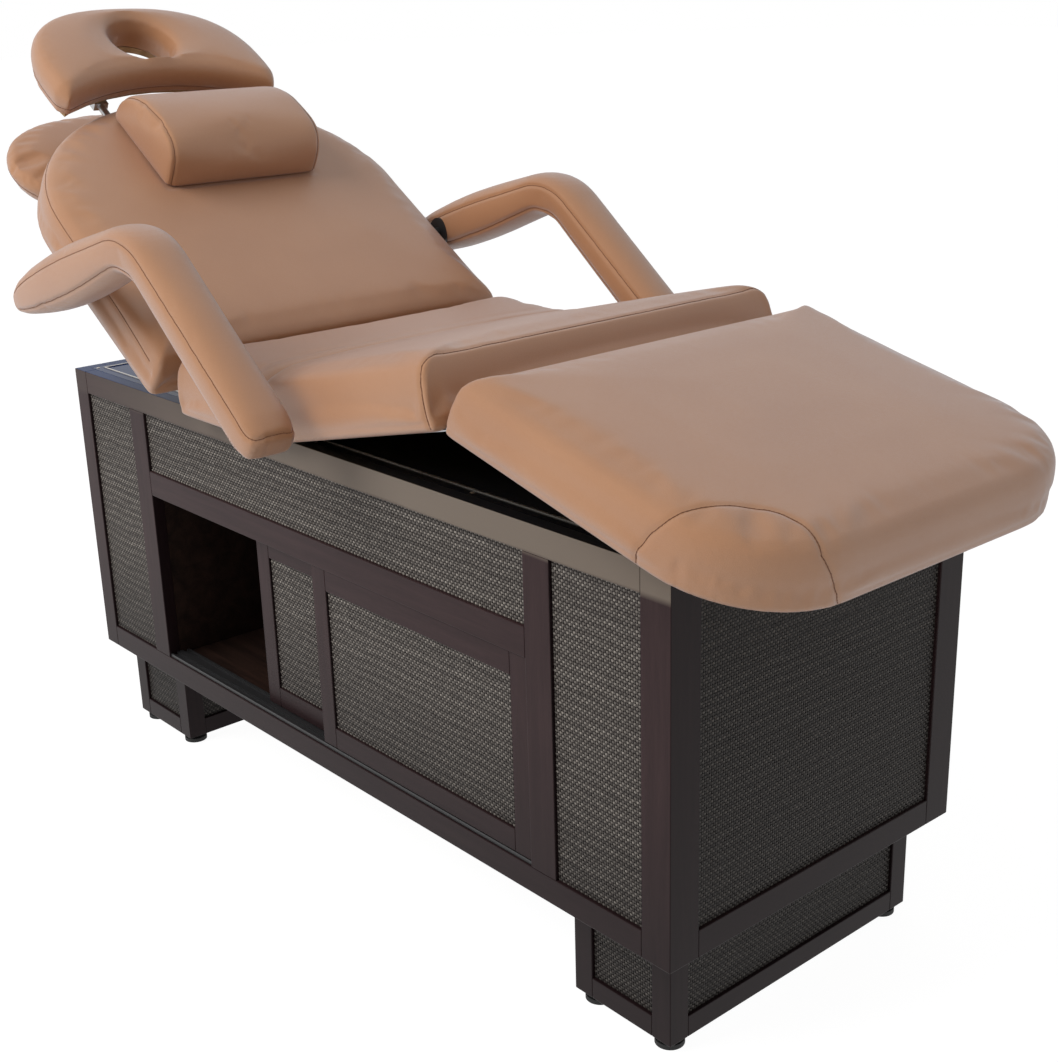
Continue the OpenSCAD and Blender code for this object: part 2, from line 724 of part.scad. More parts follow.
module leg_board() {
    on_leg() color(ply) translate([0, 0, leaf_t])
        pad_board(leg_x[0], leg_x[1], pad_half, split_r, leg_corner_r, ply_t);
}
module leg_cranks() {
    y = link_y + link_t / 2 + gap;
    on_leg() color(steel) {
        hinge_leaf(false, 1, 0);
        both() {
            crank_plate(link_pin, board_in + 2 * split_gap, board_in + bracket_w,
                leaf_t, y, plate_t, pin_d);
            across(link_pin[0], link_pin[1], pin_d / 2, y - link_t - 2 * gap, y + plate_t);
        }
    }
}
module leg_cushion() {
    on_leg() color(leather) difference() {
        pad(leg_x[0], leg_x[1], pad_half, split_r, leg_corner_r, leg_k, 1, leg_t, tan(knee_lean));
        translate([0, 0, -over])
            pad_board(leg_x[0], leg_x[1], pad_half, split_r, leg_corner_r, leaf_t + ply_t + over);
        leaf_pockets(0, board_in + 2 * split_r, false);
    }
}

// Slack of the open pivots, which the coupled joints need
link_slack = 1.6;
thigh_slack = 1;
back_slack = 9;
module knee_links() {
    on_top() color(steel) both() at(link_pivot) rotate([0, -link_turn, 0])
        standing(link_y - link_t / 2, link_y + link_t / 2) difference() {
            bar([0, 0], [link_l, 0], pin_d - over);
            circle(pin_d / 2 + run);
            translate([link_l, 0]) circle(pin_d / 2 + link_slack);
        }
}

// Actuators, along x from their cabinet pivot
tube_start = 28;
tube_neck = 8;
back_tube = [34, 145];
back_rod_l = 140;
back_eye_r = 22;
thigh_tube = [22, 140];
thigh_rod_d = 10;
thigh_rod_l = 90;
thigh_eye_r = 12;
module on_actuator(p, turn) { on_top() at(p) rotate([0, -turn, 0]) children(); }
module actuator_tube(tube, rod, width) {
    difference() {
        union() {
            across(0, 0, pin_d, -width / 2, width / 2);
            block([0, -width / 2, -pin_d / 2], [tube_start + tube_neck, width / 2, pin_d / 2]);
            translate([tube_start, 0, 0]) rotate([0, 90, 0])
                cylinder(d = tube[0], h = tube[1] - tube_start);
        }
        across(0, 0, pin_d / 2 + run, -width, width);
        translate([tube_start + tube_neck / 4, 0, 0]) rotate([0, 90, 0])
            cylinder(d = rod + 2 * run, h = tube[1]);
    }
}
module actuator_rod(l, rod, length, eye_r, slack, width) {
    difference() {
        union() {
            translate([l - length, 0, 0]) rotate([0, 90, 0]) cylinder(d = rod, h = length - eye_r / 2);
            across(l, 0, eye_r, -width / 2, width / 2);
        }
        across(l, 0, pin_d / 2 + slack, -width, width);
    }
}
module back_actuator_tube() {
    on_actuator(back_pivot, actuator_turn) color(dark_steel) actuator_tube(back_tube, rod_od, rod_od);
}
module back_actuator_rod() {
    on_actuator(back_pivot, actuator_turn) color(steel)
        actuator_rod(back_actuator_l, rod_od, back_rod_l, back_eye_r, back_slack, rod_od);
}
module thigh_actuator_tube() {
    on_actuator(thigh_pivot, thigh_turn) color(dark_steel) actuator_tube(thigh_tube, thigh_rod_d, eye_w);
}
module thigh_actuator_rod() {
    on_actuator(thigh_pivot, thigh_turn) color(steel)
        actuator_rod(thigh_actuator_l, thigh_rod_d, thigh_rod_l, thigh_eye_r, thigh_slack, eye_w);
}

// Back section: x runs up the back from the crease, z stands off the top face
back_start = back_behind - crease;
back_straight = back_start + back_l - back_end_l;
back_half = back_w / 2;
end_steps = 16;
function back_plan(i, k0) =
    let (h = back_half - i, a = back_start + k0 * i, s = max(split_r - i, split_r / 5)) concat(
        arc([a + s, s - h], s, 180, 270, corner_steps),
        [for (t = [0 : end_steps]) let (d = 180 * t / end_steps - 90)
            [back_straight + (back_end_l - i) * cos(d), h * sin(d)]],
        arc([a + s, h - s], s, 90, 180, corner_steps)
    );
function back_edge(y) = back_straight + back_end_l * sqrt(1 - pow(y / back_half, 2));
socket_x = [back_l, back_l] - [198, 38];
rod_off = head_base - ply_t - rod_d / 2;
bracket_at = [205, 259];
pivot_at = [232, -37.5];
arm_plate = [328, 334];
arm_pin_r = 8;
module back_board() {
    up_back() color(ply) translate([0, 0, -back_t]) linear_extrude(ply_t) polygon(back_plan(board_in, 1));
}
module back_forks() {
    on_back() color(dark_steel) both() {
        for (y = [lug_t / 2 + gap, -lug_t / 2 - gap - plate_t])
            standing(lug_y + y, lug_y + y + plate_t) hull() {
            circle(pin_d);
            translate([-3 * bracket_w, back_top - back_t + ply_t]) square([2 * bracket_w, lug_t]);
        }
        across(0, 0, pin_d / 2, lug_y - lug_t / 2 - gap - plate_t, lug_y + lug_t / 2 + gap + plate_t);
    }
}
module back_crank() {
    y = rod_od / 2 + gap;
    on_back() color(dark_steel) {
        for (s = [y, -y - plate_t]) crank_plate(back_pin, back_pin[0] - bracket_w, back_pin[0] + bracket_w,
            back_top - back_t, s, plate_t, pin_d);
        across(back_pin[0], back_pin[1], pin_d / 2, -y - plate_t, y + plate_t);
    }
}
module rod_sockets() {
    up_back() color(dark_steel) both() difference() {
        union() {
            translate([socket_x[0], rod_y, rod_off]) rotate([0, 90, 0])
                cylinder(d = socket_od, h = socket_x[1] - socket_x[0]);
            for (x = [socket_x[0] + rod_d, socket_x[1] - 3 * rod_d])
                block([x, rod_y - socket_od / 2, ply_t - back_t],
                    [x + 2 * rod_d, rod_y + socket_od / 2, rod_off]);
        }
        translate([socket_x[0] - over, rod_y, rod_off]) rotate([0, 90, 0])
            cylinder(d = rod_d + 2 * run, h = socket_x[1] - socket_x[0] + 2 * over);
    }
}
shelf_base = shelf_top - shelf_t;
shelf_rod_off = shelf_base - ply_t - rod_d / 2;
module shelf_hangers() {
    up_back() color(dark_steel) both() difference() {
        block([hanger_at, shelf_rod_y - hanger_w / 2, shelf_rod_off - rod_d],
            [hanger_at + hanger_l, shelf_rod_y + hanger_w / 2, -back_t]);
        block([hanger_at + hanger_l / 4, shelf_rod_y - hanger_w, shelf_rod_off + 2 * rod_d],
            [hanger_at + hanger_l * 3 / 4, shelf_rod_y + hanger_w, -back_t - lug_t]);
        translate([hanger_at - over, shelf_rod_y, shelf_rod_off]) rotate([0, 90, 0])
            cylinder(d = rod_d + 2 * run, h = hanger_l + 2 * over);
    }
}
module armrest_brackets() {
    top = pivot_at[1] + 2 * arm_pin_r;
    up_back() color(dark_steel) both() {
        block([bracket_at[0], arm_plate[0], ply_t - back_t], [bracket_at[1], arm_plate[1], top]);
        block([bracket_at[0], back_half - board_in - bracket_w, ply_t - back_t],
            [bracket_at[1], arm_plate[1], ply_t - back_t + lug_t]);
        across(pivot_at[0], pivot_at[1], arm_pin_r, arm_plate[0], back_half + arm_gap + arm_w / 3);
    }
}
module back_cushion() {
    m = (back_half + back_end_l) / 2;
    up_back() color(leather) difference() {
        translate([0, 0, -back_t]) stack([for (s = pad_side(back_t, edge_r, crown, m))
            [for (p = back_plan(min(s[0], back_end_l * 0.9), end_k)) [p[0], p[1], s[1]]]]);
        translate([0, 0, -back_t - over]) linear_extrude(ply_t + over) polygon(back_plan(board_in, 1));
        both() {
            block([socket_x[0] - gap, rod_y - socket_od / 2 - gap, ply_t - back_t - over],
                [back_start + back_l, rod_y + socket_od / 2 + gap, rod_off + socket_od / 2 + gap]);
            block([back_start - over, lug_y - pin_d - over, -back_t - over],
                [back_start + 3 * bracket_w, lug_y + pin_d + over, pin_d + over - back_top]);
            block([bracket_at[0] - gap, arm_plate[0] - gap, ply_t - back_t - over],
                [bracket_at[1] + gap, arm_plate[1] + gap, pivot_at[1] + 2 * arm_pin_r + gap]);
            block([bracket_at[0] - gap, back_half - board_in - bracket_w, ply_t - back_t - over],
                [bracket_at[1] + gap, arm_plate[1], ply_t - back_t + lug_t + gap]);
            across(pivot_at[0], pivot_at[1], arm_pin_r + gap, arm_plate[0], back_half + over);
        }
    }
}

// Headrest
head_steps = 18;
near_steps = 8;
function power_arc(a, b, p, t) =
    [a * sign(cos(t)) * pow(abs(cos(t)), 2 / p), b * sign(sin(t)) * pow(abs(sin(t)), 2 / p)];
function head_plan(i) = let (w = head_w / 2 - i, c = head_corner - i) concat(
    [for (t = [0 : head_steps]) [head_centre, 0]
        + power_arc(head_reach - i, w, head_power, 180 * t / head_steps - 90)],
    [[(head_centre + back_edge(head_corner) + head_gap) / 2, w - i / 5]],
    [for (t = [0 : near_steps]) let (y = c * (1 - 2 * t / near_steps)) [back_edge(y) + head_gap + i, y]],
    [[(head_centre + back_edge(head_corner) + head_gap) / 2, i / 5 - w]]
);
function hole_point(p, i) = let (t = atan2(p[1], p[0] - hole_at))
    [hole_at + (hole_l / 2 + i) * cos(t), (hole_w / 2 + i) * sin(t)];
module headrest_cushion() {
    r = edge_r * 0.8;
    c = crown / 2;
    outer = [[draw_in, 0], [0, head_t * 0.45], [0, head_t - r], [r * 0.3, head_t - r * 0.3], [r, head_t]];
    inner = [[r * 0.6, head_t], [r * 0.2, head_t - r * 0.3], [0, head_t / 2], [draw_in / 3, 0]];
    up_back() color(leather) translate([0, 0, head_base]) ring_stack(concat(
        [for (s = outer) [for (p = head_plan(s[0])) [p[0], p[1], s[1]]]],
        [[for (p = head_plan(r)) let (q = (p + hole_point(p, r * 0.6)) / 2) [q[0], q[1], head_t + c]]],
        [for (s = inner) [for (p = head_plan(0)) let (q = hole_point(p, s[0])) [q[0], q[1], s[1]]]]
    ));
}
head_board_in = 24;
module headrest_board() {
    up_back() color(ply) translate([0, 0, head_base - ply_t]) linear_extrude(ply_t) difference() {
        polygon(head_plan(head_board_in));
        translate([hole_at, 0]) circle((hole_l + draw_in) / 2);
    }
}
module headrest_rods() {
    up_back() color(steel) both() {
        translate([socket_x[0] + draw_in, rod_y, rod_off]) rotate([0, 90, 0])
            cylinder(d = rod_d, h = head_centre + head_reach / 2 - socket_x[0] - draw_in);
        for (x = [head_centre, head_centre + head_reach / 2 - 2 * rod_d])
            block([x, rod_y - rod_d, rod_off - rod_d / 2],
                [x + 2 * rod_d, rod_y + rod_d, head_base - ply_t]);
    }
}

// Arm shelf
shelf_power = 2.3;
shelf_steps = 36;
function shelf_plan(i) = [for (t = [0 : shelf_steps - 1])
    [shelf_centre, 0] + power_arc(shelf_l / 2 - i, shelf_w / 2 - i, shelf_power, 360 * t / shelf_steps)];
module shelf_cushion() {
    up_back() color(leather) translate([0, 0, shelf_base])
        stack([for (s = pad_side(shelf_t, edge_r / 2, crown, shelf_l / 2))
            [for (p = shelf_plan(s[0])) [p[0], p[1], s[1]]]]);
}
module shelf_board() {
    up_back() color(ply) translate([0, 0, shelf_base - ply_t]) linear_extrude(ply_t)
        polygon(shelf_plan(board_in));
}
module shelf_rods() {
    up_back() color(steel) both() translate([hanger_at, shelf_rod_y, shelf_rod_off]) rotate([0, 90, 0])
        cylinder(d = rod_d, h = shelf_centre + shelf_l / 4 - hanger_at);
}

// Armrests, from their pivot on the back with x towards the foot and z up as shown
arm_set = 33;
arm_front = [617, -154];
arm_corner = [303, 98];
arm_bend_r = 100;
arm_rear_slope = 17.5;
arm_rear_l = 398;
module on_arm(side) {
    up_back() translate([pivot_at[0], side * (back_half + arm_gap), pivot_at[1]]) mirror([1, 0, 0])
        rotate([0, -arm_set, 0]) children();
}
arm_d = arm_corner - arm_front;
arm_rise = atan2(arm_d[1], arm_d[0]);
arm_turn = 180 + arm_rear_slope - arm_rise;
arm_tangent = arm_bend_r * tan(arm_turn / 2);
arm_front_l = norm(arm_d) - arm_tangent;
arm_bend_l = arm_bend_r * arm_turn * PI / 180;
// Place and direction at a distance along the armrest's middle line from its front end
function arm_at(s) = let (u = [cos(arm_rise), sin(arm_rise)])
    s <= arm_front_l ? [arm_front + s * u, arm_rise]
    : s <= arm_front_l + arm_bend_l
        ? let (a = arm_rise + arm_turn * (s - arm_front_l) / arm_bend_l,
            c = arm_front + arm_front_l * u + arm_bend_r * [-sin(arm_rise), cos(arm_rise)])
            [c + arm_bend_r * [sin(a), -cos(a)], a]
        : let (a = 180 + arm_rear_slope, v = [cos(a), sin(a)])
            [arm_corner + (arm_tangent + s - arm_front_l - arm_bend_l) * v, a];
arm_length = arm_front_l + arm_bend_l + arm_rear_l;
// Places along the armrest as shares of its length, thickness and width there as shares of the front limb's
arm_place_shares = [
    0, 0.012, 0.045, 0.1, 0.25, 0.36, 0.42, 0.48, 0.54, 0.6, 0.66, 0.72, 0.8, 0.88, 0.94, 0.98, 1
];
arm_thick_shares = [
    0.5, 0.8, 0.97, 1, 1, 0.98, 0.96, 0.98, 1.04, 1.14, 1.24, 1.3, 1.28, 1.16, 0.94, 0.66, 0.3
];
arm_width_shares = [0.8, 0.93, 1, 1, 1, 1, 1, 1, 1, 1, 1, 1, 1, 0.99, 0.95, 0.84, 0.6];
arm_steps = 20;
arm_power = 4;
module arm_pad() {
    stack([for (k = [0 : len(arm_place_shares) - 1])
        let (
            q = arm_at(arm_place_shares[k] * arm_length), a = q[1], h = arm_t * arm_thick_shares[k] / 2,
            w = arm_w * arm_width_shares[k] / 2
        )
        [for (t = [0 : arm_steps - 1])
            let (
                e = power_arc(w, h, arm_power, 360 * t / arm_steps),
                v = e[1] + (e[1] > 0 ? crown * (1 - pow(e[0] / w, 2)) : 0)
            ) [q[0][0] + v * sin(a), e[0], q[0][1] - v * cos(a)]]
    ]);
}
hub_r = 26;
hub_depth = 24;
module arm_hub(side) {
    on_arm(side) color(dark_steel) scale([1, side, 1]) difference() {
        across(0, 0, hub_r, gap, hub_depth);
        across(0, 0, arm_pin_r + run, 0, hub_depth + over);
    }
}
module armrest(side) {
    on_arm(side) color(leather) scale([1, side, 1]) difference() {
        translate([0, arm_w / 2, 0]) arm_pad();
        across(0, 0, hub_r + gap, -over, arm_w / 3 + over);
    }
}
module right_arm_hub() { arm_hub(-1); }
module right_armrest() { armrest(-1); }
module left_arm_hub() { arm_hub(1); }
module left_armrest() { armrest(1); }

// Bolster
bolster_at = back_l - 293;
bolster_side = 13;
bolster_crest = 0.4;
bolster_powers = [3.4, 2.2];
bolster_steps = 22;
bolster_place_shares = [0, 0.012, 0.04, 0.09, 0.5, 0.91, 0.96, 0.988, 1];
bolster_size_shares = [0.84, 0.93, 0.98, 1, 1, 1, 0.98, 0.93, 0.84];
module bolster() {
    up_back() color(leather) translate([bolster_at + bolster_crest * bolster_d,
        bolster_side - bolster_l / 2, crown + gap])
        stack([for (k = [0 : len(bolster_place_shares) - 1])
            let (f = bolster_size_shares[k])
            [for (t = [0 : bolster_steps]) let (a = 180 * t / bolster_steps,
                e = power_arc(1, bolster_h, bolster_powers[a > 90 ? 0 : 1], a),
                l = e[0] > 0 ? (1 - bolster_crest) * bolster_d : bolster_crest * bolster_d)
                [f * l * e[0], bolster_place_shares[k] * bolster_l, f * e[1] + (1 - f) * bolster_h / 3]]
        ]);
}

head_plinth();
foot_plinth();
plinth_inserts();
levelling_feet();
lift_outer_columns();
corner_posts();
front_frame();
rear_frame();
end_rails();
front_woven_panels();
rear_woven_panels();
end_woven_panels();
bay_partitions();
storage_floor();
storage_ceiling();
storage_back();
top_board();
top_trim();
trim_screws();
door_tracks();
lift_inner_columns();
control_box();
mechanism_brackets();
back_hinge_lugs();
thigh_hinge_leaf();
seat_board();
seat_cushion();
front_door_frame();
front_door_insert();
rear_door_frame();
rear_door_insert();
thigh_board();
thigh_knuckles();
thigh_cushion();
leg_board();
leg_cranks();
leg_cushion();
knee_links();
back_board();
back_forks();
back_crank();
rod_sockets();
shelf_hangers();
armrest_brackets();
back_cushion();
headrest_rods();
headrest_board();
headrest_cushion();
shelf_rods();
shelf_board();
shelf_cushion();
right_arm_hub();
right_armrest();
left_arm_hub();
left_armrest();
bolster();
back_actuator_tube();
back_actuator_rod();
thigh_actuator_tube();
thigh_actuator_rod();
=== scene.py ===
"""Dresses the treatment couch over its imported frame: leather, woven panels, boards and metalwork."""

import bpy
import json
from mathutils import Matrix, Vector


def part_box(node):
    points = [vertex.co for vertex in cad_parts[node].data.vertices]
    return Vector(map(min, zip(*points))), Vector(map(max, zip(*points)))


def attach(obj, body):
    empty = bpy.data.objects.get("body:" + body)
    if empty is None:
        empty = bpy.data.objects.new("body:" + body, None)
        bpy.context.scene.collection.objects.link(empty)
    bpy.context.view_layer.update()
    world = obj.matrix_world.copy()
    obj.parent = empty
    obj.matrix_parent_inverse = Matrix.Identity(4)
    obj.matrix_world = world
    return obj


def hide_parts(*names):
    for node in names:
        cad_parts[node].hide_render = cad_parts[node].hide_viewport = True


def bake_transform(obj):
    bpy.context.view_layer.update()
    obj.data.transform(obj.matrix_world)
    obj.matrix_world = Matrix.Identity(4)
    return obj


bl_info = {
    "name": "Treatment Couch",
    "version": (1, 0, 0),
    "blender": (4, 5, 0),
    "location": "View3D > Sidebar > Couch",
    "description": "Upholsters and finishes a treatment couch with a storage cabinet",
    "category": "Object",
}

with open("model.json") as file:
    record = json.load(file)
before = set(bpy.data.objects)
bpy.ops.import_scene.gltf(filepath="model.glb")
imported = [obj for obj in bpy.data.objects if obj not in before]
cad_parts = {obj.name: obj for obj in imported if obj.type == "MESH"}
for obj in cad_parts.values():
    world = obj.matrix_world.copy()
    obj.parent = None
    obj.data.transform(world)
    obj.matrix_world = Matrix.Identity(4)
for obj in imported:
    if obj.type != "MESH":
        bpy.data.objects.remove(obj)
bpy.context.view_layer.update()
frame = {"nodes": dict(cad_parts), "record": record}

import json
import math

import bmesh
import bpy
import numpy as np
from mathutils import Matrix, Vector
from mathutils.bvhtree import BVHTree
from mathutils.kdtree import KDTree

MM = 0.001

# The cabinet's middle and the height of its top board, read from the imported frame
BOARD_LOW, BOARD_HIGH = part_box("top_board")
MID = (BOARD_LOW[0] + BOARD_HIGH[0]) / 2 / MM
TOP = BOARD_HIGH[2] / MM

# Lines of the cabinet in millimetres from its middle, as the solids have them
CAB_X, CAB_Y, CAB_Z = 750, 292.5, 165
BOARD = 22
HEAD_POST, FOOT_POST, END_POST = 42, 50, 52
HEAD_BAY, FOOT_BAY, DOORWAY = (-708, -551), (540, 700), (-501, 490)
RAIL_LOW, RAIL_MID, RAIL_TOP = (165, 205), (512, 556), (660, 700)
HEAD_PLINTH, FOOT_PLINTH, PLINTH_Y, PLINTH_Z = (-723, -535), (530, 712), 252, (14, 350)
PLINTH_STILE, PLINTH_BOARD, PLINTH_RAIL = 34, 18, 32
DOOR_L, DOOR_T, DOOR_STILE, DOOR_PANEL, DOOR_Z = 499, 16, 35, 5, (212, 511)
DOOR_TONGUES = ((207.3, 212.0), (511.0, 517.7))
DOORS = {"front_door": (-9.3, -289.5), "rear_door": (-200.7, -269.5)}
PANEL_FACE = 6

# Angles of the three tilting sections, and the lines that they turn about from the middle of the
# cabinet's top
BACK_ANGLE, THIGH_ANGLE, LEG_ANGLE = math.radians(33), math.radians(13.25), math.radians(14.3)
THIGH_AXIS, KNEE, BACK_AXIS = (-35, 8), (384.928, 100.716), (-312, 54)


# ---------------------------------------------------------------------------------------------
# Settings that a user would change
# ---------------------------------------------------------------------------------------------

def colour(name, text, value):
    """A colour setting."""
    return bpy.props.FloatVectorProperty(name=name, description=text, subtype="COLOR", size=3, min=0, max=1,
                                         default=value)


def length(name, text, value):
    """A length setting in metres."""
    return bpy.props.FloatProperty(name=name, description=text, subtype="DISTANCE", unit="LENGTH", min=0,
                                   default=value)


def fraction(name, text, value):
    """A setting that is a share of another."""
    return bpy.props.FloatProperty(name=name, description=text, min=0.2, max=1, default=value)


class CouchColours(bpy.types.PropertyGroup):
    """Colours of the finishes"""
    leather: colour("Leather", "Main colour of the covers", (0.43, 0.205, 0.092))
    leather_deep: colour("Leather, deep", "Colour in the covers' darker patches", (0.385, 0.175, 0.074))
    thread: colour("Thread", "Colour of the seams", (0.19, 0.085, 0.042))
    wood: colour("Wood", "Stain on the boards", (0.026, 0.013, 0.014))
    wood_light: colour("Wood, light", "Light streaks in the stained boards", (0.040, 0.021, 0.022))
    # Painted reflection: the light band along the front of the top rail
    rail: colour("Rail, worn", "Lighter tone along the front of the top rail", (0.175, 0.142, 0.115))
    strand: colour("Strand", "Light tone of the woven strands", (0.50, 0.455, 0.405))
    # Dark tone of the strands, and the painted shade where each strand dips under its neighbours
    strand_dark_and_shade: colour("Strand, dark", "Dark tone of the woven strands", (0.016, 0.011, 0.011))
    top: colour("Top", "Lacquer on the cabinet's top", (0.005, 0.005, 0.006))
    # Painted reflection: a blue tone on the black lacquer towards the head end
    top_reflection: colour("Top, cast", "Blue cast of that lacquer at the head end", (0.008, 0.028, 0.110))
    trim: colour("Trim", "Metal strip let into the cabinet's top", (0.62, 0.58, 0.52))


class CouchCushions(bpy.types.PropertyGroup):
    """How the covers are filled and sewn"""
    cell: length("Cell", "Mesh size of the large cushions before smoothing", 0.0063)
    cell_small: length("Cell, small", "Mesh size of the small cushions before smoothing", 0.0055)
    shrink: length("Shrink", "How much smaller a cover is before it is filled", 0.003)
    cap: length("Swell limit", "Furthest that a point of a cover moves as it is filled", 0.006)
    pressure: bpy.props.FloatProperty(name="Pressure", description="Pressure of the filling", min=0,
                                      default=4.0)
    stitch: length("Stitch", "Length from one stitch to the next", 0.0055)
    thread: length("Thread", "Radius of the seams' thread", 0.0006)
    seam_depth: length("Seam depth", "How deep a seam draws the cover in", 0.002)


class CouchWeave(bpy.types.PropertyGroup):
    """Sizes of the woven panels"""
    pitch: length("Pitch", "Distance from one strand to the next", 0.0042)
    rise: length("Rise", "How far a strand stands off the panel", 0.0013)
    weft: fraction("Weft", "Width of a level strand as a share of the pitch", 0.74)
    warp: fraction("Warp", "Width of an upright strand as a share of the pitch", 0.52)
    seed: bpy.props.IntProperty(name="Seed", description="Picks the strands' tones", default=7)


class CouchStage(bpy.types.PropertyGroup):
    """The studio round the couch"""
    floor: colour("Floor", "Colour of the floor", (0.92, 0.92, 0.92))
    key: bpy.props.FloatProperty(name="Key light", description="Power of the main light", unit="POWER",
                                 default=158)
    fill: bpy.props.FloatProperty(name="Fill light", description="Power of the light at the foot end",
                                  unit="POWER", default=1)
    sky: bpy.props.FloatProperty(name="Sky", description="Strength of the soft light all round", default=0.36)


# ---------------------------------------------------------------------------------------------
# Places: each section's own frame, in which x runs along it, y across the couch and z off it
# ---------------------------------------------------------------------------------------------

def own_frame(origin, along, off):
    """Matrix from a section's own millimetres to the couch's metres."""
    m = Matrix.Identity(4)
    for row in range(3):
        m[row][0], m[row][1], m[row][2] = along[row] * MM, (0, MM, 0)[row], off[row] * MM
        m[row][3] = origin[row] * MM
    return m


def on_top(x, z):
    """A point over the cabinet's middle line, in the couch's millimetres."""
    return Vector((MID + x, 0, TOP + z))


CABINET_FRAME = own_frame(Vector((MID, 0, 0)), (1, 0, 0), (0, 0, 1))
SEAT_FRAME = own_frame(on_top(0, 0), (1, 0, 0), (0, 0, 1))
LEG_FRAME = own_frame(on_top(*KNEE), (math.cos(LEG_ANGLE), 0, -math.sin(LEG_ANGLE)),
                      (math.sin(LEG_ANGLE), 0, math.cos(LEG_ANGLE)))
UP_BACK = Vector((-math.cos(BACK_ANGLE), 0, math.sin(BACK_ANGLE)))
OFF_BACK = Vector((math.sin(BACK_ANGLE), 0, math.cos(BACK_ANGLE)))
BACK_FRAME = own_frame(on_top(*BACK_AXIS) + 5.5 * UP_BACK + 49 * OFF_BACK, UP_BACK, OFF_BACK)


def arm_frame(side):
    """Frame of an armrest, at its pivot beside the back."""
    pivot = BACK_FRAME @ Vector((232, side * 366, -37.5))
    m = own_frame(pivot / MM, (1, 0, 0), (0, 0, 1))
    m[1][1] = side * MM
    return m


# ---------------------------------------------------------------------------------------------
# Mesh helpers
# ---------------------------------------------------------------------------------------------

def linked(name, data):
    """A new object in the scene."""
    obj = bpy.data.objects.new(name, data)
    bpy.context.scene.collection.objects.link(obj)
    return obj


def mesh_object(name, verts, faces, edges=()):
    """A new mesh object from lists."""
    mesh = bpy.data.meshes.new(name)
    mesh.from_pydata([tuple(v) for v in verts], edges, faces)
    mesh.update()
    return linked(name, mesh)


def gathered(name, whole):
    """A new mesh object from the parts gathered in a bmesh, which is let go."""
    mesh = bpy.data.meshes.new(name)
    whole.to_mesh(mesh)
    whole.free()
    return linked(name, mesh)


def points_of(obj, what="co"):
    """The mesh's points, or with "normal" their normals, as rows."""
    flat = np.empty(len(obj.data.vertices) * 3)
    obj.data.vertices.foreach_get(what, flat)
    return flat.reshape(-1, 3)


def set_points(obj, rows):
    """Writes the mesh's points back."""
    obj.data.vertices.foreach_set("co", np.ascontiguousarray(rows).ravel())
    obj.data.update()


def bake(obj):
    """Turns the object's modifiers into plain mesh."""
    deps = bpy.context.evaluated_depsgraph_get()
    deps.update()
    mesh = bpy.data.meshes.new_from_object(obj.evaluated_get(deps))
    old = obj.data
    obj.modifiers.clear()
    obj.data = mesh
    mesh.name = obj.name
    bpy.data.meshes.remove(old)


def put(obj, matrix):
    """Moves the mesh itself into the couch's frame, and turns its faces outwards again after a mirror."""
    obj.data.transform(matrix)
    if matrix.determinant() < 0:
        obj.data.flip_normals()
    obj.data.update()


def smooth(obj, times, factor=0.5):
    """Evens the mesh out."""
    mod = obj.modifiers.new("even", "SMOOTH")
    mod.factor, mod.iterations = factor, times
    bake(obj)


def finish_piece(obj, body, material=None, replaces=()):
    """Gives a finished piece its body, finish and the solids that it stands for."""
    if material is not None:
        obj.data.materials.clear()
        obj.data.materials.append(material)
    if replaces:
        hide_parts(*replaces)
    if body:
        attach(obj, body)
    return obj


# ---------------------------------------------------------------------------------------------
# Outlines of the cushions, in millimetres
# ---------------------------------------------------------------------------------------------

PAD_HALF, PAD_ROUND, PAD_CROWN = 346, 36, 7
LEG_L, LEG_FOOT_ROUND = 546, 165
BACK_STRAIGHT, BACK_END, BACK_HALF, BACK_LIFT = 380.5, 300, 360, 100
HEAD_AT, HEAD_L, HEAD_HALF, HEAD_EDGE, HEAD_GAP = 690, 206, 232, 216, 8
HOLE_AT, HOLE_L, HOLE_W = 780, 61, 55
SHELF_AT, SHELF_L, SHELF_HALF, SHELF_DROP = 711, 148, 265, 210
HINGE_Y, HINGE_HALF = 200, 15


def arc(cx, cy, r, a0, a1, n=10):
    """Points on an arc, in degrees."""
    t = np.radians(np.linspace(a0, a1, n + 1))
    return np.stack([cx + r * np.cos(t), cy + r * np.sin(t)], axis=1)


def run_of(line):
    """How far along a line each of its points lies."""
    return np.concatenate([[0], np.cumsum(np.linalg.norm(np.diff(line, axis=0), axis=1))])


def stepped(line, n, end=True):
    """The line with n points at even steps."""
    run = run_of(line)
    at = np.linspace(0, run[-1], n, endpoint=end)
    return np.stack([np.interp(at, run, line[:, k]) for k in range(line.shape[1])], axis=1)


def evenly(outline, n):
    """The closed outline with n points at even steps."""
    return stepped(np.vstack([outline, outline[:1]]), n, False)


def pad_plan(x0, x1, half, r0, r1, k0, k1, i):
    """Plan of a straight pad, drawn in by i."""
    s0, s1 = max(r0 - i, r0 / 5), max(r1 - i, r1 / 5)
    a, b, h = x0 + k0 * i, x1 - k1 * i, half - i
    return np.vstack([arc(a + s0, s0 - h, s0, 180, 270), arc(b - s1, s1 - h, s1, 270, 360),
                      arc(b - s1, h - s1, s1, 0, 90), arc(a + s0, h - s0, s0, 90, 180)])


def back_plan(i, k0):
    """Plan of the back: straight for a way, and half an ellipse past it."""
    h, a, s = BACK_HALF - i, 2.5 + k0 * i, max(12 - i, 2.4)
    t = np.radians(np.linspace(-90, 90, 49))
    end = np.stack([BACK_STRAIGHT + (BACK_END - i) * np.cos(t), h * np.sin(t)], axis=1)
    return np.vstack([arc(a + s, s - h, s, 180, 270), end, arc(a + s, h - s, s, 90, 180)])


def back_edge(y):
    """How far up the back its rounded end reaches at y."""
    return BACK_STRAIGHT + BACK_END * math.sqrt(1 - (y / BACK_HALF) ** 2)


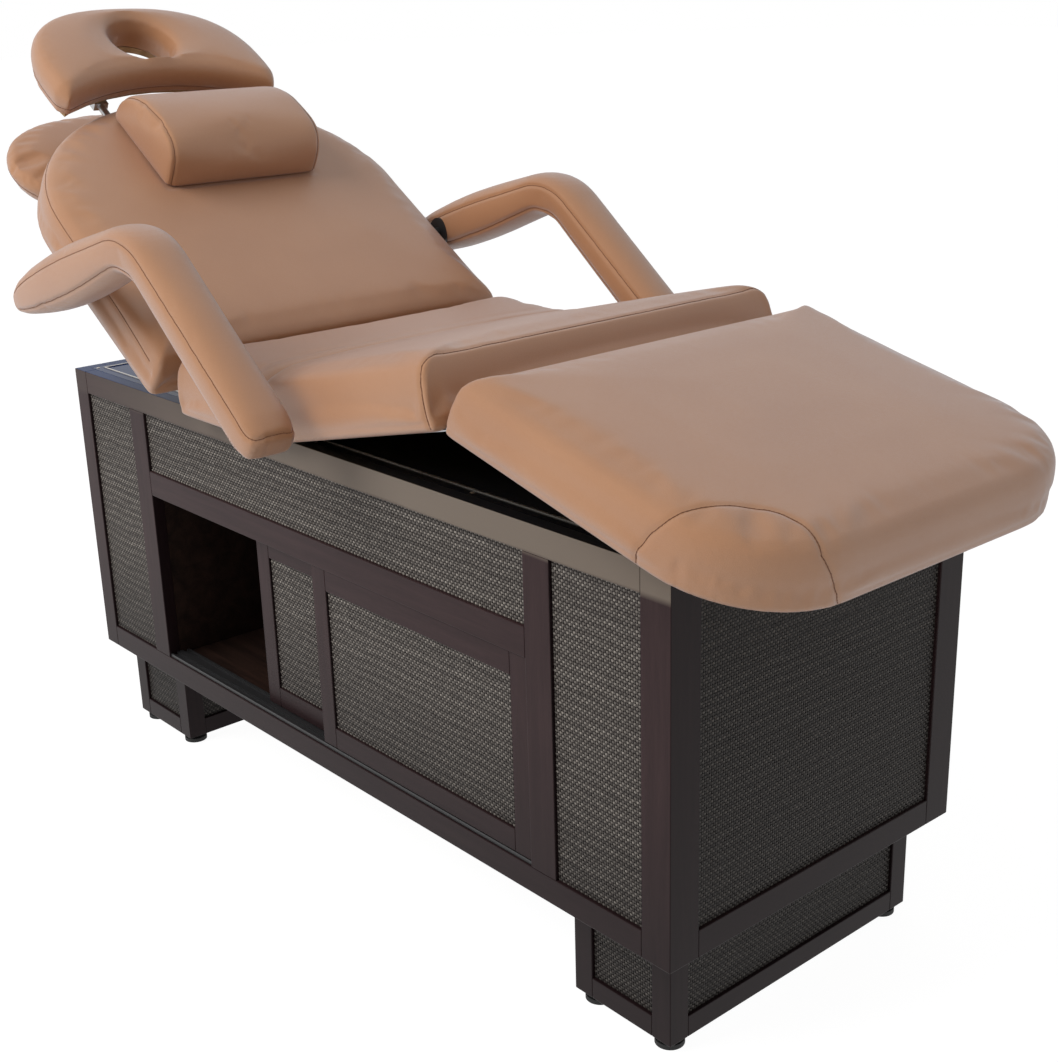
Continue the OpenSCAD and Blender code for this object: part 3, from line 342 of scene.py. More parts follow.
def power_arc(a, b, p, degrees):
    """A point on a squared-off ellipse."""
    c, s = math.cos(math.radians(degrees)), math.sin(math.radians(degrees))
    return (a * math.copysign(abs(c) ** (2 / p), c), b * math.copysign(abs(s) ** (2 / p), s))


def head_plan(i):
    """Plan of the headrest, whose near edge follows the end of the back."""
    w, c = HEAD_HALF - i, HEAD_EDGE - i
    front = [power_arc(HEAD_L - i, w, 2.6, t * 5 - 90) for t in range(37)]
    pts = [(HEAD_AT + p[0], p[1]) for p in front]
    turn = (HEAD_AT + back_edge(HEAD_EDGE) + HEAD_GAP) / 2
    pts.append((turn, w - i / 5))
    pts += [(back_edge(c * (1 - t / 8)) + HEAD_GAP + i, c * (1 - t / 8)) for t in range(17)]
    pts.append((turn, i / 5 - w))
    return evenly(np.array(pts), 120)


def shelf_plan(i):
    """Plan of the arm shelf."""
    pts = [power_arc(SHELF_L - i, SHELF_HALF - i, 2.3, 3 * t) for t in range(120)]
    return np.array([(SHELF_AT + p[0], p[1]) for p in pts])


def pad_side(t, r, crown, middle):
    """Side of a pad from the edge of its board round to its crown, as draw-in and height."""
    return [(44, 9), (40, 8), (34, 1), (22, 0), (16, 0.6), (11.5, 2.6), (8.5, 6), (3, t * 0.25),
            (0, t * 0.5), (r * 0.05, t - r), (r * 0.14, t - r * 0.6), (r * 0.29, t - r * 0.32),
            (r * 0.62, t - r * 0.08), (r * 1.15, t), (middle * 0.55, t + crown * 0.75),
            (middle * 0.9, t + crown)]


def rings_of(plan, side):
    """Level outlines stacked up a side line."""
    n = 240
    rings = []
    for i, z in side:
        flat = evenly(plan(i), n)
        rings.append(np.column_stack([flat, np.full(n, float(z))]))
    return rings


def loft(name, rings, hollow=False):
    """A closed skin through outlines that have the same number of points."""
    n, m = len(rings[0]), len(rings)
    faces = []
    for k in range(m if hollow else m - 1):
        a, b = k * n, (k + 1) % m * n
        faces += [(a + i, a + (i + 1) % n, b + (i + 1) % n, b + i) for i in range(n)]
    if not hollow:
        faces += [tuple(range(n - 1, -1, -1)), tuple(range((m - 1) * n, m * n))]
    obj = mesh_object(name, np.vstack(rings) * MM, faces)
    bm = bmesh.new()
    bm.from_mesh(obj.data)
    bmesh.ops.recalc_face_normals(bm, faces=bm.faces)
    bm.to_mesh(obj.data)
    bm.free()
    return obj


def even_mesh(obj, cell):
    """Remeshes a closed skin into even cells."""
    mod = obj.modifiers.new("cells", "REMESH")
    mod.mode = "VOXEL"
    mod.voxel_size = cell
    mod.use_smooth_shade = True
    bake(obj)
    smooth(obj, 4)


FILL_FRAMES = 20


def swell(obj, held):
    """Fills a cover by a cloth simulation, with each point kept within the limit of where it started."""
    soft = bpy.context.scene.couch_cushions
    rest = points_of(obj) - points_of(obj, "normal") * soft.shrink * (~held)[:, None]
    set_points(obj, rest)
    group = obj.vertex_groups.new(name="held")
    group.add([int(k) for k in np.nonzero(held)[0]], 1.0, "REPLACE")
    mod = obj.modifiers.new("cover", "CLOTH")
    cloth = mod.settings
    cloth.quality = 4
    cloth.tension_stiffness = cloth.compression_stiffness = 25
    cloth.shear_stiffness = 10
    cloth.bending_stiffness = 5
    cloth.use_pressure = True
    cloth.uniform_pressure_force = soft.pressure
    cloth.vertex_group_mass = group.name
    cloth.effector_weights.gravity = 0
    mod.collision_settings.use_collision = False
    mod.point_cache.frame_start, mod.point_cache.frame_end = 1, FILL_FRAMES
    scene = bpy.context.scene
    for step in range(1, FILL_FRAMES + 1):
        scene.frame_set(step)
    filled = obj.evaluated_get(bpy.context.evaluated_depsgraph_get())
    move = points_of(filled) - rest
    size = np.maximum(np.linalg.norm(move, axis=1), 1e-9)
    move *= np.minimum(1, soft.cap / size)[:, None]
    obj.modifiers.clear()
    scene.frame_set(1)
    obj.vertex_groups.clear()
    set_points(obj, rest + move)
    smooth(obj, 2, 0.4)


def subdivide(obj):
    """One level of subdivision, baked in."""
    mod = obj.modifiers.new("fine", "SUBSURF")
    mod.levels = mod.render_levels = 1
    bake(obj)


def cushion(name, rings, cell, hollow=False, under=12.0, shape=None):
    """A filled cover in its section's own frame, in metres: skin, even mesh, filling and last shaping."""
    obj = loft(name, rings, hollow)
    even_mesh(obj, cell)
    held = points_of(obj)[:, 2] < under * MM
    swell(obj, held)
    if shape is not None:
        set_points(obj, shape(points_of(obj) / MM) * MM)
    subdivide(obj)
    obj.data.transform(Matrix.Scale(1 / MM, 4))
    return obj


def draw_in(obj, line, depth, width):
    """Draws the cover in along a seam, in the object's own unit."""
    tree = KDTree(len(line))
    for k, p in enumerate(line):
        tree.insert(p, k)
    tree.balance()
    rows, out = points_of(obj), points_of(obj, "normal")
    reach = 4 * width
    low, high = np.min(line, axis=0) - reach, np.max(line, axis=0) + reach
    near = np.nonzero(np.all((rows > low) & (rows < high), axis=1))[0]
    for k in near:
        d = tree.find(rows[k])[2]
        if d < reach:
            rows[k] -= out[k] * depth * math.exp(-(d / width) ** 2)
    set_points(obj, rows)


def spline(points, step, closed=False):
    """A smooth run through points, with even steps."""
    p = np.array(points, dtype=float)
    n = len(p)
    spans = n if closed else n - 1
    rows = []
    for k in range(spans):
        a, b, c, d = (p[(k + j) % n] if closed else p[min(max(k + j, 0), n - 1)] for j in (-1, 0, 1, 2))
        for t in np.linspace(0, 1, 24, endpoint=False):
            rows.append(0.5 * (2 * b + (c - a) * t + (2 * a - 5 * b + 4 * c - d) * t ** 2
                               + (3 * b - a - 3 * c + d) * t ** 3))
    rows.append(p[0] if closed else p[-1])
    rows = np.array(rows)
    return stepped(rows, max(8, int(run_of(rows)[-1] / step)))


def laid_on(obj, line, lift):
    """The line laid on the piece's surface, a little proud of it."""
    tree = BVHTree.FromObject(obj, bpy.context.evaluated_depsgraph_get())
    out = []
    for p in line:
        hit, normal, _, _ = tree.find_nearest(Vector(p))
        out.append(hit + normal * lift)
    return np.array(out)


# ---------------------------------------------------------------------------------------------
# Node trees
# ---------------------------------------------------------------------------------------------

def new_tree(name, kind, inputs, outputs):
    """A node tree with its named inputs and outputs; gives the tree and the sockets of its inputs."""
    tree = bpy.data.node_groups.new(name, kind)
    for way, sockets in (("INPUT", inputs), ("OUTPUT", outputs)):
        for label, what in sockets:
            tree.interface.new_socket(name=label, in_out=way, socket_type="NodeSocket" + what)
    return tree, tree.nodes.new("NodeGroupInput").outputs


def node(tree, kind, **values):
    """A node with properties and input values; a value that is an output socket is linked instead."""
    made = tree.nodes.new(kind)
    for key, value in values.items():
        if not key[0].isupper() and not key.startswith("i_"):
            setattr(made, key, value)
    for key, value in values.items():
        if key.startswith("i_"):
            place = made.inputs[int(key[2:])]
        elif key[0].isupper():
            place = made.inputs[key.replace("_", " ")]
        else:
            continue
        if isinstance(value, bpy.types.NodeSocket):
            tree.links.new(value, place)
        else:
            place.default_value = value
    return made


def calc(tree, operation, a, b=0.0):
    """The result of a Math node."""
    return node(tree, "ShaderNodeMath", operation=operation, i_0=a, i_1=b).outputs[0]


def noise(tree, **values):
    """A noise texture."""
    return node(tree, "ShaderNodeTexNoise", **values).outputs[0]


def ranged(tree, **values):
    """A value moved from one range to another."""
    return node(tree, "ShaderNodeMapRange", **values).outputs[0]


def mixed(tree, share, a, b):
    """A colour between two others."""
    return node(tree, "ShaderNodeMix", data_type="RGBA", i_0=share, i_6=a, i_7=b).outputs[2]


def split(tree, vector):
    """The three parts of a vector."""
    return node(tree, "ShaderNodeSeparateXYZ", Vector=vector).outputs


def plus(tree, a, b):
    """The sum of two values."""
    return calc(tree, "ADD", a, b)


def times(tree, a, b):
    """The product of two values."""
    return calc(tree, "MULTIPLY", a, b)


def output(tree, **values):
    """Links values to a tree's named outputs."""
    out = tree.nodes.new("NodeGroupOutput")
    for key, value in values.items():
        tree.links.new(value, out.inputs[key])
    return tree


def run_nodes(obj, tree, values):
    """Runs a Geometry Nodes tree on the object with its inputs set by identifier, and bakes the result."""
    mod = obj.modifiers.new(tree.name, "NODES")
    mod.node_group = tree
    for item in tree.interface.items_tree:
        if item.item_type == "SOCKET" and item.in_out == "INPUT" and item.name in values:
            mod[item.identifier] = values[item.name]
    obj.update_tag()
    bake(obj)


def shown(tree, geometry, material):
    """Ends a Geometry Nodes tree: smooth shading, the finish and the output."""
    soft = node(tree, "GeometryNodeSetShadeSmooth", Geometry=geometry).outputs[0]
    return output(tree, Geometry=node(tree, "GeometryNodeSetMaterial", Geometry=soft,
                                      Material=material).outputs[0])


def weave_tree():
    """Plain weave: arched strands over a level field, every other one turned upright."""
    sizes = [(label, "Float") for label in ("Width", "Height", "Pitch", "Rise", "Weft", "Warp")]
    tree, given = new_tree("Woven field", "GeometryNodeTree",
                           [("Geometry", "Geometry"), *sizes, ("Seed", "Int"), ("Finish", "Material")],
                           [("Geometry", "Geometry")])
    pitch = given["Pitch"]
    whole = (calc(tree, "FLOOR", calc(tree, "DIVIDE", given[label], pitch)) for label in ("Width", "Height"))
    columns, rows = (calc(tree, "MAXIMUM", count, 2.0) for count in whole)
    field = node(tree, "GeometryNodeMeshGrid", Size_X=calc(tree, "SUBTRACT", given["Width"], pitch),
                 Size_Y=calc(tree, "SUBTRACT", given["Height"], pitch), Vertices_X=columns, Vertices_Y=rows)
    index = tree.nodes.new("GeometryNodeInputIndex").outputs[0]
    column = calc(tree, "FLOOR", calc(tree, "DIVIDE", index, rows))
    row = calc(tree, "MODULO", index, rows)
    upright = calc(tree, "MODULO", plus(tree, column, row), 2.0)
    # One strand's visible arch, with a rounded back
    reach = times(tree, pitch, 1.75)
    strip = node(tree, "GeometryNodeMeshGrid", Size_X=reach, Size_Y=pitch, Vertices_X=4, Vertices_Y=2)
    place = tree.nodes.new("GeometryNodeInputPosition").outputs[0]
    across = split(tree, place)[0]
    along = calc(tree, "COSINE", times(tree, calc(tree, "DIVIDE", across, reach), math.pi))
    height = times(tree, given["Rise"], along)
    lift = node(tree, "ShaderNodeCombineXYZ", Z=height).outputs[0]
    arch = node(tree, "GeometryNodeSetPosition", Geometry=strip.outputs[0], Offset=lift).outputs[0]
    arch = node(tree, "GeometryNodeStoreNamedAttribute", data_type="FLOAT", domain="POINT", Geometry=arch,
                Name="crest", Value=along).outputs[0]
    turn = node(tree, "ShaderNodeCombineXYZ", Z=times(tree, upright, math.pi / 2)).outputs[0]
    width = node(tree, "ShaderNodeMix", i_0=upright, i_2=given["Weft"], i_3=given["Warp"]).outputs[0]
    wobble = node(tree, "FunctionNodeRandomValue", i_2=0.82, i_3=1.15, Seed=given["Seed"]).outputs[1]
    size = node(tree, "ShaderNodeCombineXYZ", X=1.0, Y=width, Z=wobble).outputs[0]
    laid = node(tree, "GeometryNodeInstanceOnPoints", Points=field.outputs[0], Instance=arch, Rotation=turn,
                Scale=size).outputs[0]
    # Level strands are light and upright ones dark, and each row has a tone of its own
    each = node(tree, "FunctionNodeRandomValue", i_2=0.55, i_3=1.0,
                Seed=plus(tree, given["Seed"], 11.0)).outputs[1]
    streak = node(tree, "FunctionNodeRandomValue", i_2=0.72, i_3=1.0, ID=row,
                  Seed=plus(tree, given["Seed"], 5.0)).outputs[1]
    light = times(tree, each, streak)
    tone = node(tree, "ShaderNodeMix", i_0=upright, i_2=light, i_3=times(tree, light, 0.3)).outputs[0]
    toned = node(tree, "GeometryNodeStoreNamedAttribute", data_type="FLOAT", domain="INSTANCE",
                 Geometry=laid, Name="tone", Value=tone).outputs[0]
    real = node(tree, "GeometryNodeRealizeInstances", Geometry=toned).outputs[0]
    return shown(tree, real, given["Finish"])


def seam_tree():
    """A sewn seam: a fine sunk cord with stitches along it, on the run of points given."""
    tree, given = new_tree("Sewn seam", "GeometryNodeTree",
                           [("Geometry", "Geometry"), ("Step", "Float"), ("Thread", "Float"),
                            ("Finish", "Material")], [("Geometry", "Geometry")])
    run = node(tree, "GeometryNodeMeshToCurve", Mesh=given["Geometry"]).outputs[0]
    fine = node(tree, "GeometryNodeResampleCurve", Curve=run, mode="LENGTH", Length=given["Step"]).outputs[0]
    ring = node(tree, "GeometryNodeCurvePrimitiveCircle", Resolution=5,
                Radius=times(tree, given["Thread"], 0.8)).outputs[0]
    cord = node(tree, "GeometryNodeCurveToMesh", Curve=fine, Profile_Curve=ring, Fill_Caps=True).outputs[0]
    bead = node(tree, "GeometryNodeMeshUVSphere", Segments=6, Rings=4,
                Radius=given["Thread"]).outputs["Mesh"]
    tangent = tree.nodes.new("GeometryNodeInputTangent").outputs[0]
    turn = node(tree, "FunctionNodeAlignRotationToVector", axis="Z", Vector=tangent).outputs[0]
    stretch = calc(tree, "DIVIDE", times(tree, given["Step"], 0.36), given["Thread"])
    size = node(tree, "ShaderNodeCombineXYZ", X=1.15, Y=1.15, Z=stretch).outputs[0]
    sewn = node(tree, "GeometryNodeInstanceOnPoints", Points=fine, Instance=bead, Rotation=turn,
                Scale=size).outputs[0]
    both = tree.nodes.new("GeometryNodeJoinGeometry")
    tree.links.new(cord, both.inputs[0])
    tree.links.new(node(tree, "GeometryNodeRealizeInstances", Geometry=sewn).outputs[0], both.inputs[0])
    return shown(tree, both.outputs[0], given["Finish"])


def tree_named(name, make):
    """A node tree, made once."""
    return bpy.data.node_groups.get(name) or make()


# ---------------------------------------------------------------------------------------------
# Shader groups and finishes
# ---------------------------------------------------------------------------------------------

def grain_group():
    """Wood grain: long streaks and fine pores along the first axis of the vector."""
    tree, given = new_tree("Wood grain", "ShaderNodeTree",
                           [("Vector", "Vector"), ("Dark", "Color"), ("Light", "Color"), ("Scale", "Float")],
                           [("Color", "Color"), ("Height", "Float")])
    stretched = node(tree, "ShaderNodeVectorMath", operation="MULTIPLY", i_0=given["Vector"],
                     i_1=(1.0, 14.0, 14.0)).outputs[0]
    bands = noise(tree, Vector=stretched, Scale=given["Scale"], Detail=5.0, Roughness=0.6, Distortion=0.4)
    pores = noise(tree, Vector=stretched, Scale=times(tree, given["Scale"], 9.0), Detail=3.0)
    both = plus(tree, times(tree, bands, 0.7), times(tree, pores, 0.3))
    tone = ranged(tree, Value=both, From_Min=0.36, From_Max=0.66)
    mix = mixed(tree, tone, given["Dark"], given["Light"])
    return output(tree, Color=mix, Height=pores)


def hide_group():
    """Leather: pebbled grain with slow patches of tone."""
    tree, given = new_tree("Leather hide", "ShaderNodeTree", [("Vector", "Vector"), ("Color", "Color"),
                                                              ("Deep", "Color"), ("Pebble", "Float")],
                           [("Color", "Color"), ("Height", "Float"), ("Rough", "Float")])
    patches = noise(tree, Vector=given["Vector"], Scale=7.0, Detail=4.0)
    cells = node(tree, "ShaderNodeTexVoronoi", feature="DISTANCE_TO_EDGE", Vector=given["Vector"],
                 Scale=given["Pebble"]).outputs[0]
    raised = ranged(tree, Value=cells, From_Min=0.0, From_Max=0.25)
    fine = noise(tree, Vector=given["Vector"], Scale=times(tree, given["Pebble"], 0.35), Detail=3.0)
    shade = times(tree, ranged(tree, Value=patches, From_Min=0.35, From_Max=0.7), 0.55)
    shade = plus(tree, shade, times(tree, calc(tree, "SUBTRACT", 1.0, raised), 0.35))
    mix = mixed(tree, shade, given[1], given["Deep"])
    rough = ranged(tree, Value=fine, To_Min=0.40, To_Max=0.52)
    return output(tree, Color=mix, Height=plus(tree, raised, times(tree, fine, 0.8)), Rough=rough)


def speckle_group():
    """A fine moulded, cast or powdered surface with slight unevenness of tone."""
    tree, given = new_tree("Speckle", "ShaderNodeTree", [("Vector", "Vector"), ("Color", "Color"),
                                                         ("Scale", "Float"), ("Spread", "Float")],
                           [("Color", "Color"), ("Height", "Float")])
    fine = noise(tree, Vector=given["Vector"], Scale=given["Scale"], Detail=4.0)
    slow = noise(tree, Vector=given["Vector"], Scale=9.0, Detail=3.0)
    off = times(tree, calc(tree, "SUBTRACT", plus(tree, fine, slow), 1.0),
                 given["Spread"])
    bright = node(tree, "ShaderNodeHueSaturation", Value=plus(tree, 1.0, off), Color=given[1])
    return output(tree, Color=bright.outputs[0], Height=fine)


def rail_group():
    """Masks on the cabinet's boards: the front of the top rail, which takes a painted reflection, and the
    lacquered top faces, which take a painted blue reflection towards the head end.
    """
    tree, given = new_tree("Top rail", "ShaderNodeTree", [("Vector", "Vector"), ("Normal", "Vector")],
                           [("Worn", "Float"), ("Cap", "Float"), ("Head", "Float")])
    x, _, z = split(tree, given["Vector"])
    _, ny, nz = split(tree, given["Normal"])

    def ramp(value, low, high, out_low=0.0, out_high=1.0):
        return ranged(tree, Value=value, From_Min=low, From_Max=high, To_Min=out_low, To_Max=out_high)

    # Painted reflection: a light band along the top of the rail's front face, fading towards the head end
    front = ramp(times(tree, ny, -1.0), 0.5, 0.9)
    soft = noise(tree, Vector=given["Vector"], Scale=5.0, Detail=2.0)
    edge = plus(tree, z, times(tree, soft, 0.008))
    sheen = times(tree, front, ramp(edge, 0.659, 0.668))
    sheen = times(tree, sheen, ramp(x, -0.6, 0.05, 0.12, 1.0))
    # The lacquered top faces; those towards the head end take the painted blue reflection
    cap = times(tree, ramp(nz, 0.7, 0.9), ramp(z, 0.69, 0.695))
    return output(tree, Worn=sheen, Cap=times(tree, cap, ramp(x, -0.42, -0.12)), Head=cap)


def rgba(value):
    """A colour with full alpha."""
    return (*value, 1.0)


def new_material(name):
    """An empty material with its surface shader."""
    material = bpy.data.materials.new("couch_" + name)
    material.use_nodes = True
    tree = material.node_tree
    tree.nodes.clear()
    shader = tree.nodes.new("ShaderNodeBsdfPrincipled")
    out = tree.nodes.new("ShaderNodeOutputMaterial")
    tree.links.new(shader.outputs[0], out.inputs[0])
    return material, tree, shader


def place_of(tree, kind="Object"):
    """Coordinates on the piece."""
    return tree.nodes.new("ShaderNodeTexCoord").outputs[kind]


def group_node(tree, group, **values):
    """A shader group placed in a material."""
    made = tree.nodes.new("ShaderNodeGroup")
    made.node_tree = group
    for key, value in values.items():
        place = made.inputs[key]
        if isinstance(value, bpy.types.NodeSocket):
            tree.links.new(value, place)
        else:
            place.default_value = value
    return made.outputs


def bump(tree, shader, height, strength, distance):
    """Bump from a height into the shader's normal."""
    made = node(tree, "ShaderNodeBump", Strength=strength, Distance=distance, Height=height)
    tree.links.new(made.outputs[0], shader.inputs["Normal"])


def shaded(tree, tone, share):
    """The tone, darker towards the floor and on faces turned to the foot end, as the photograph has them."""
    ahead = split(tree, place_of(tree, "Normal"))[0]
    turned = ranged(tree, Value=ahead, From_Min=0.55, From_Max=0.75, To_Max=share)
    level = split(tree, place_of(tree))[2]
    low = ranged(tree, Value=level, From_Min=0.42, From_Max=0.12, To_Max=share)
    return mixed(tree, calc(tree, "MAXIMUM", turned, low), tone, (0.002, 0.001, 0.0015, 1.0))


def leather_finish():
    """Tan leather."""
    colours = bpy.context.scene.couch_colours
    material, tree, shader = new_material("tan_leather")
    hide = group_node(tree, tree_named("Leather hide", hide_group), Vector=place_of(tree),
                      Color=rgba(colours.leather), Deep=rgba(colours.leather_deep), Pebble=520.0)
    tree.links.new(hide["Color"], shader.inputs["Base Color"])
    tree.links.new(hide["Rough"], shader.inputs["Roughness"])
    shader.inputs["Specular IOR Level"].default_value = 0.95
    shader.inputs["Sheen Weight"].default_value = 0.35
    shader.inputs["Sheen Roughness"].default_value = 0.5
    shader.inputs["Sheen Tint"].default_value = (0.62, 0.80, 1.0, 1.0)
    bump(tree, shader, hide["Height"], 0.25, 0.0004)
    return material


def wood_finish(name, dark, light, rough, scale=6.0, kind="UV"):
    """Stained wood whose grain follows the boards."""
    material, tree, shader = new_material(name)
    grain = group_node(tree, tree_named("Wood grain", grain_group), Vector=place_of(tree, kind),
                       Dark=rgba(dark), Light=rgba(light), Scale=scale)
    tone = grain["Color"]
    if name == "dark_wood":
        c = bpy.context.scene.couch_colours
        mask = group_node(tree, tree_named("Top rail", rail_group), Vector=place_of(tree),
                          Normal=place_of(tree, "Normal"))
        # Painted reflections on the boards: the light band on the top rail's front and the blue tone on the
        # lacquered tops at the head end; black lacquer on the other tops
        for part, tint in (("Worn", c.rail), ("Head", c.top_reflection), ("Cap", c.top)):
            tone = mixed(tree, mask[part], tone, rgba(tint))
        tone = shaded(tree, tone, 0.62)
    tree.links.new(tone, shader.inputs["Base Color"])
    shader.inputs["Roughness"].default_value = rough
    shader.inputs["Specular IOR Level"].default_value = 0.12
    bump(tree, shader, grain["Height"], 0.08, 0.0003)
    return material


def plain_finish(name, tint, rough, metal=0.0, scale=400.0, spread=0.25, depth=0.1, specular=0.5):
    """Moulded, cast, rolled or powdered material."""
    material, tree, shader = new_material(name)
    speckle = group_node(tree, tree_named("Speckle", speckle_group), Vector=place_of(tree), Color=rgba(tint),
                         Scale=scale, Spread=spread)
    tree.links.new(speckle["Color"], shader.inputs["Base Color"])
    shader.inputs["Roughness"].default_value = rough
    shader.inputs["Metallic"].default_value = metal
    shader.inputs["Specular IOR Level"].default_value = specular
    bump(tree, shader, speckle["Height"], depth, 0.0003)
    return material


def strand_finish():
    """Woven strands, each with its own tone."""
    colours = bpy.context.scene.couch_colours
    material, tree, shader = new_material("woven_strands")
    tone = node(tree, "ShaderNodeAttribute", attribute_name="tone").outputs["Fac"]
    crest = node(tree, "ShaderNodeAttribute", attribute_name="crest").outputs["Fac"]
    place = place_of(tree)
    fibre = noise(tree, Vector=place, Scale=900.0, Detail=2.0)
    # Light rows that wander a little up and down, one for every four strands
    flat = node(tree, "ShaderNodeVectorMath", operation="MULTIPLY", i_0=place,
                i_1=(14.0, 14.0, 30.0)).outputs[0]
    drift = noise(tree, Vector=flat, Scale=1.0, Detail=3.0)
    level = split(tree, place)[2]
    row = plus(tree, times(tree, level, 2 * math.pi / 0.0148),
                 times(tree, drift, 7.0))
    band = ranged(tree, Value=calc(tree, "SINE", row), From_Min=-1.0, From_Max=1.0, To_Min=0.6,
                  To_Max=1.2)
    # Painted shade: each strand darkens towards its ends, where it dips under its neighbours
    lit = times(tree, tone, calc(tree, "POWER", crest, 3.0))
    both = times(tree, band, plus(tree, times(tree, lit, 0.9),
                                                 times(tree, fibre, 0.05)))
    mix = mixed(tree, both, rgba(colours.strand_dark_and_shade), rgba(colours.strand))
    tree.links.new(shaded(tree, mix, 0.66), shader.inputs["Base Color"])
    shader.inputs["Roughness"].default_value = 0.45
    shader.inputs["Specular IOR Level"].default_value = 0.15
    bump(tree, shader, fibre, 0.2, 0.0003)
    return material


def lacquer_finish():
    """Black gloss lacquer with a painted blue reflection towards the head end."""
    colours = bpy.context.scene.couch_colours
    material, tree, shader = new_material("black_gloss")
    place = place_of(tree)
    along = split(tree, place)[0]
    # Painted blue reflection, growing towards the head end
    cast = ranged(tree, Value=along, From_Min=-0.12, From_Max=-0.42)
    haze = noise(tree, Vector=place, Scale=30.0, Detail=3.0)
    mix = mixed(tree, cast, rgba(colours.top), rgba(colours.top_reflection))
    tree.links.new(mix, shader.inputs["Base Color"])
    rough = ranged(tree, Value=haze, To_Min=0.10, To_Max=0.18)
    tree.links.new(rough, shader.inputs["Roughness"])
    shader.inputs["Specular IOR Level"].default_value = 0.04
    return material


def finish(name):
    """A finish by name, made once; the frame has materials of the plain names."""
    known = bpy.data.materials.get("couch_" + name)
    if known:
        return known
    c = bpy.context.scene.couch_colours
    makers = {
        "tan_leather": leather_finish,
        "dark_wood": lambda: wood_finish(name, c.wood, c.wood_light, 0.4),
        "dark_board": lambda: wood_finish(name, (0.010, 0.006, 0.005), (0.030, 0.016, 0.012), 0.5, 3.0,
                                          "Object"),
        "plywood": lambda: wood_finish(name, (0.36, 0.23, 0.12), (0.55, 0.40, 0.24), 0.6, 4.0, "Object"),
        "woven_strands": strand_finish,
        "woven": lambda: plain_finish(name, (0.018, 0.013, 0.011), 0.7, scale=300.0),
        "black_gloss": lacquer_finish,
        "bright_trim": lambda: plain_finish(name, c.trim, 0.3, 1.0, 700.0, 0.2),
        "black_rubber": lambda: plain_finish(name, (0.012, 0.012, 0.012), 0.75, scale=600.0, depth=0.2),
        "black_plastic": lambda: plain_finish(name, (0.015, 0.015, 0.016), 0.45, scale=900.0, depth=0.2),
        "steel": lambda: plain_finish(name, (0.50, 0.50, 0.51), 0.32, 1.0, 500.0, 0.15),
        "black_steel": lambda: plain_finish(name, (0.020, 0.020, 0.021), 0.42, 0.0, 1200.0, 0.2, 0.25),
        "thread": lambda: plain_finish(name, c.thread, 0.6, scale=1500.0),
    }
    return makers[name]()


# ---------------------------------------------------------------------------------------------
# Camera and studio
# ---------------------------------------------------------------------------------------------

# Where the photograph was taken from: the way round, the way up and the lean in degrees, the lens in
# millimetres and the place in metres from under the cabinet's middle
CAMERA_ANGLES, CAMERA_LENS, CAMERA_PLACE = (49.35, 19.02, -1.65), 52.905, (1.89980, -1.48954, 1.32309)
FLOOR_REACH = 40


class COUCH_OT_camera(bpy.types.Operator):
    """Sets the camera where the photograph was taken from"""
    bl_idname = "couch.camera"
    bl_label = "Camera"

    def execute(self, context):
        az, el, roll = (math.radians(angle) for angle in CAMERA_ANGLES)
        ahead = Vector((-math.sin(az) * math.cos(el), math.cos(az) * math.cos(el), -math.sin(el)))
        right = Vector((math.cos(az), math.sin(az), 0))
        up = right.cross(ahead)
        r = right * math.cos(roll) + up * math.sin(roll)
        u = up * math.cos(roll) - right * math.sin(roll)
        lens = bpy.data.cameras.new("camera")
        lens.lens, lens.sensor_width, lens.clip_end = CAMERA_LENS, 36, 50
        camera = linked("camera", lens)
        turn = Matrix((r, u, -ahead)).transposed().to_4x4()
        x, y, z = CAMERA_PLACE
        camera.matrix_world = Matrix.Translation((MID * MM + x, y, z)) @ turn
        context.scene.camera = camera
        return {"FINISHED"}


def soft_box(name, place, target, size, power, tint=(1, 1, 1)):
    """A square studio light aimed at a point."""
    light = bpy.data.lights.new(name, "AREA")
    light.energy, light.size, light.color = power, size, tint
    obj = linked(name, light)
    obj.visible_glossy = False
    aim = Vector(target) - Vector(place)
    obj.matrix_world = Matrix.Translation(place) @ aim.to_track_quat("-Z", "Y").to_matrix().to_4x4()
    return obj


def seen_rays(tree):
    """1 for the rays that see the backdrop, straight or by a reflection, and 0 for those that light."""
    ray = tree.nodes.new("ShaderNodeLightPath").outputs
    bent = plus(tree, ray["Is Glossy Ray"], ray["Is Transmission Ray"])
    return calc(tree, "MINIMUM", plus(tree, ray["Is Camera Ray"], bent), 1.0)


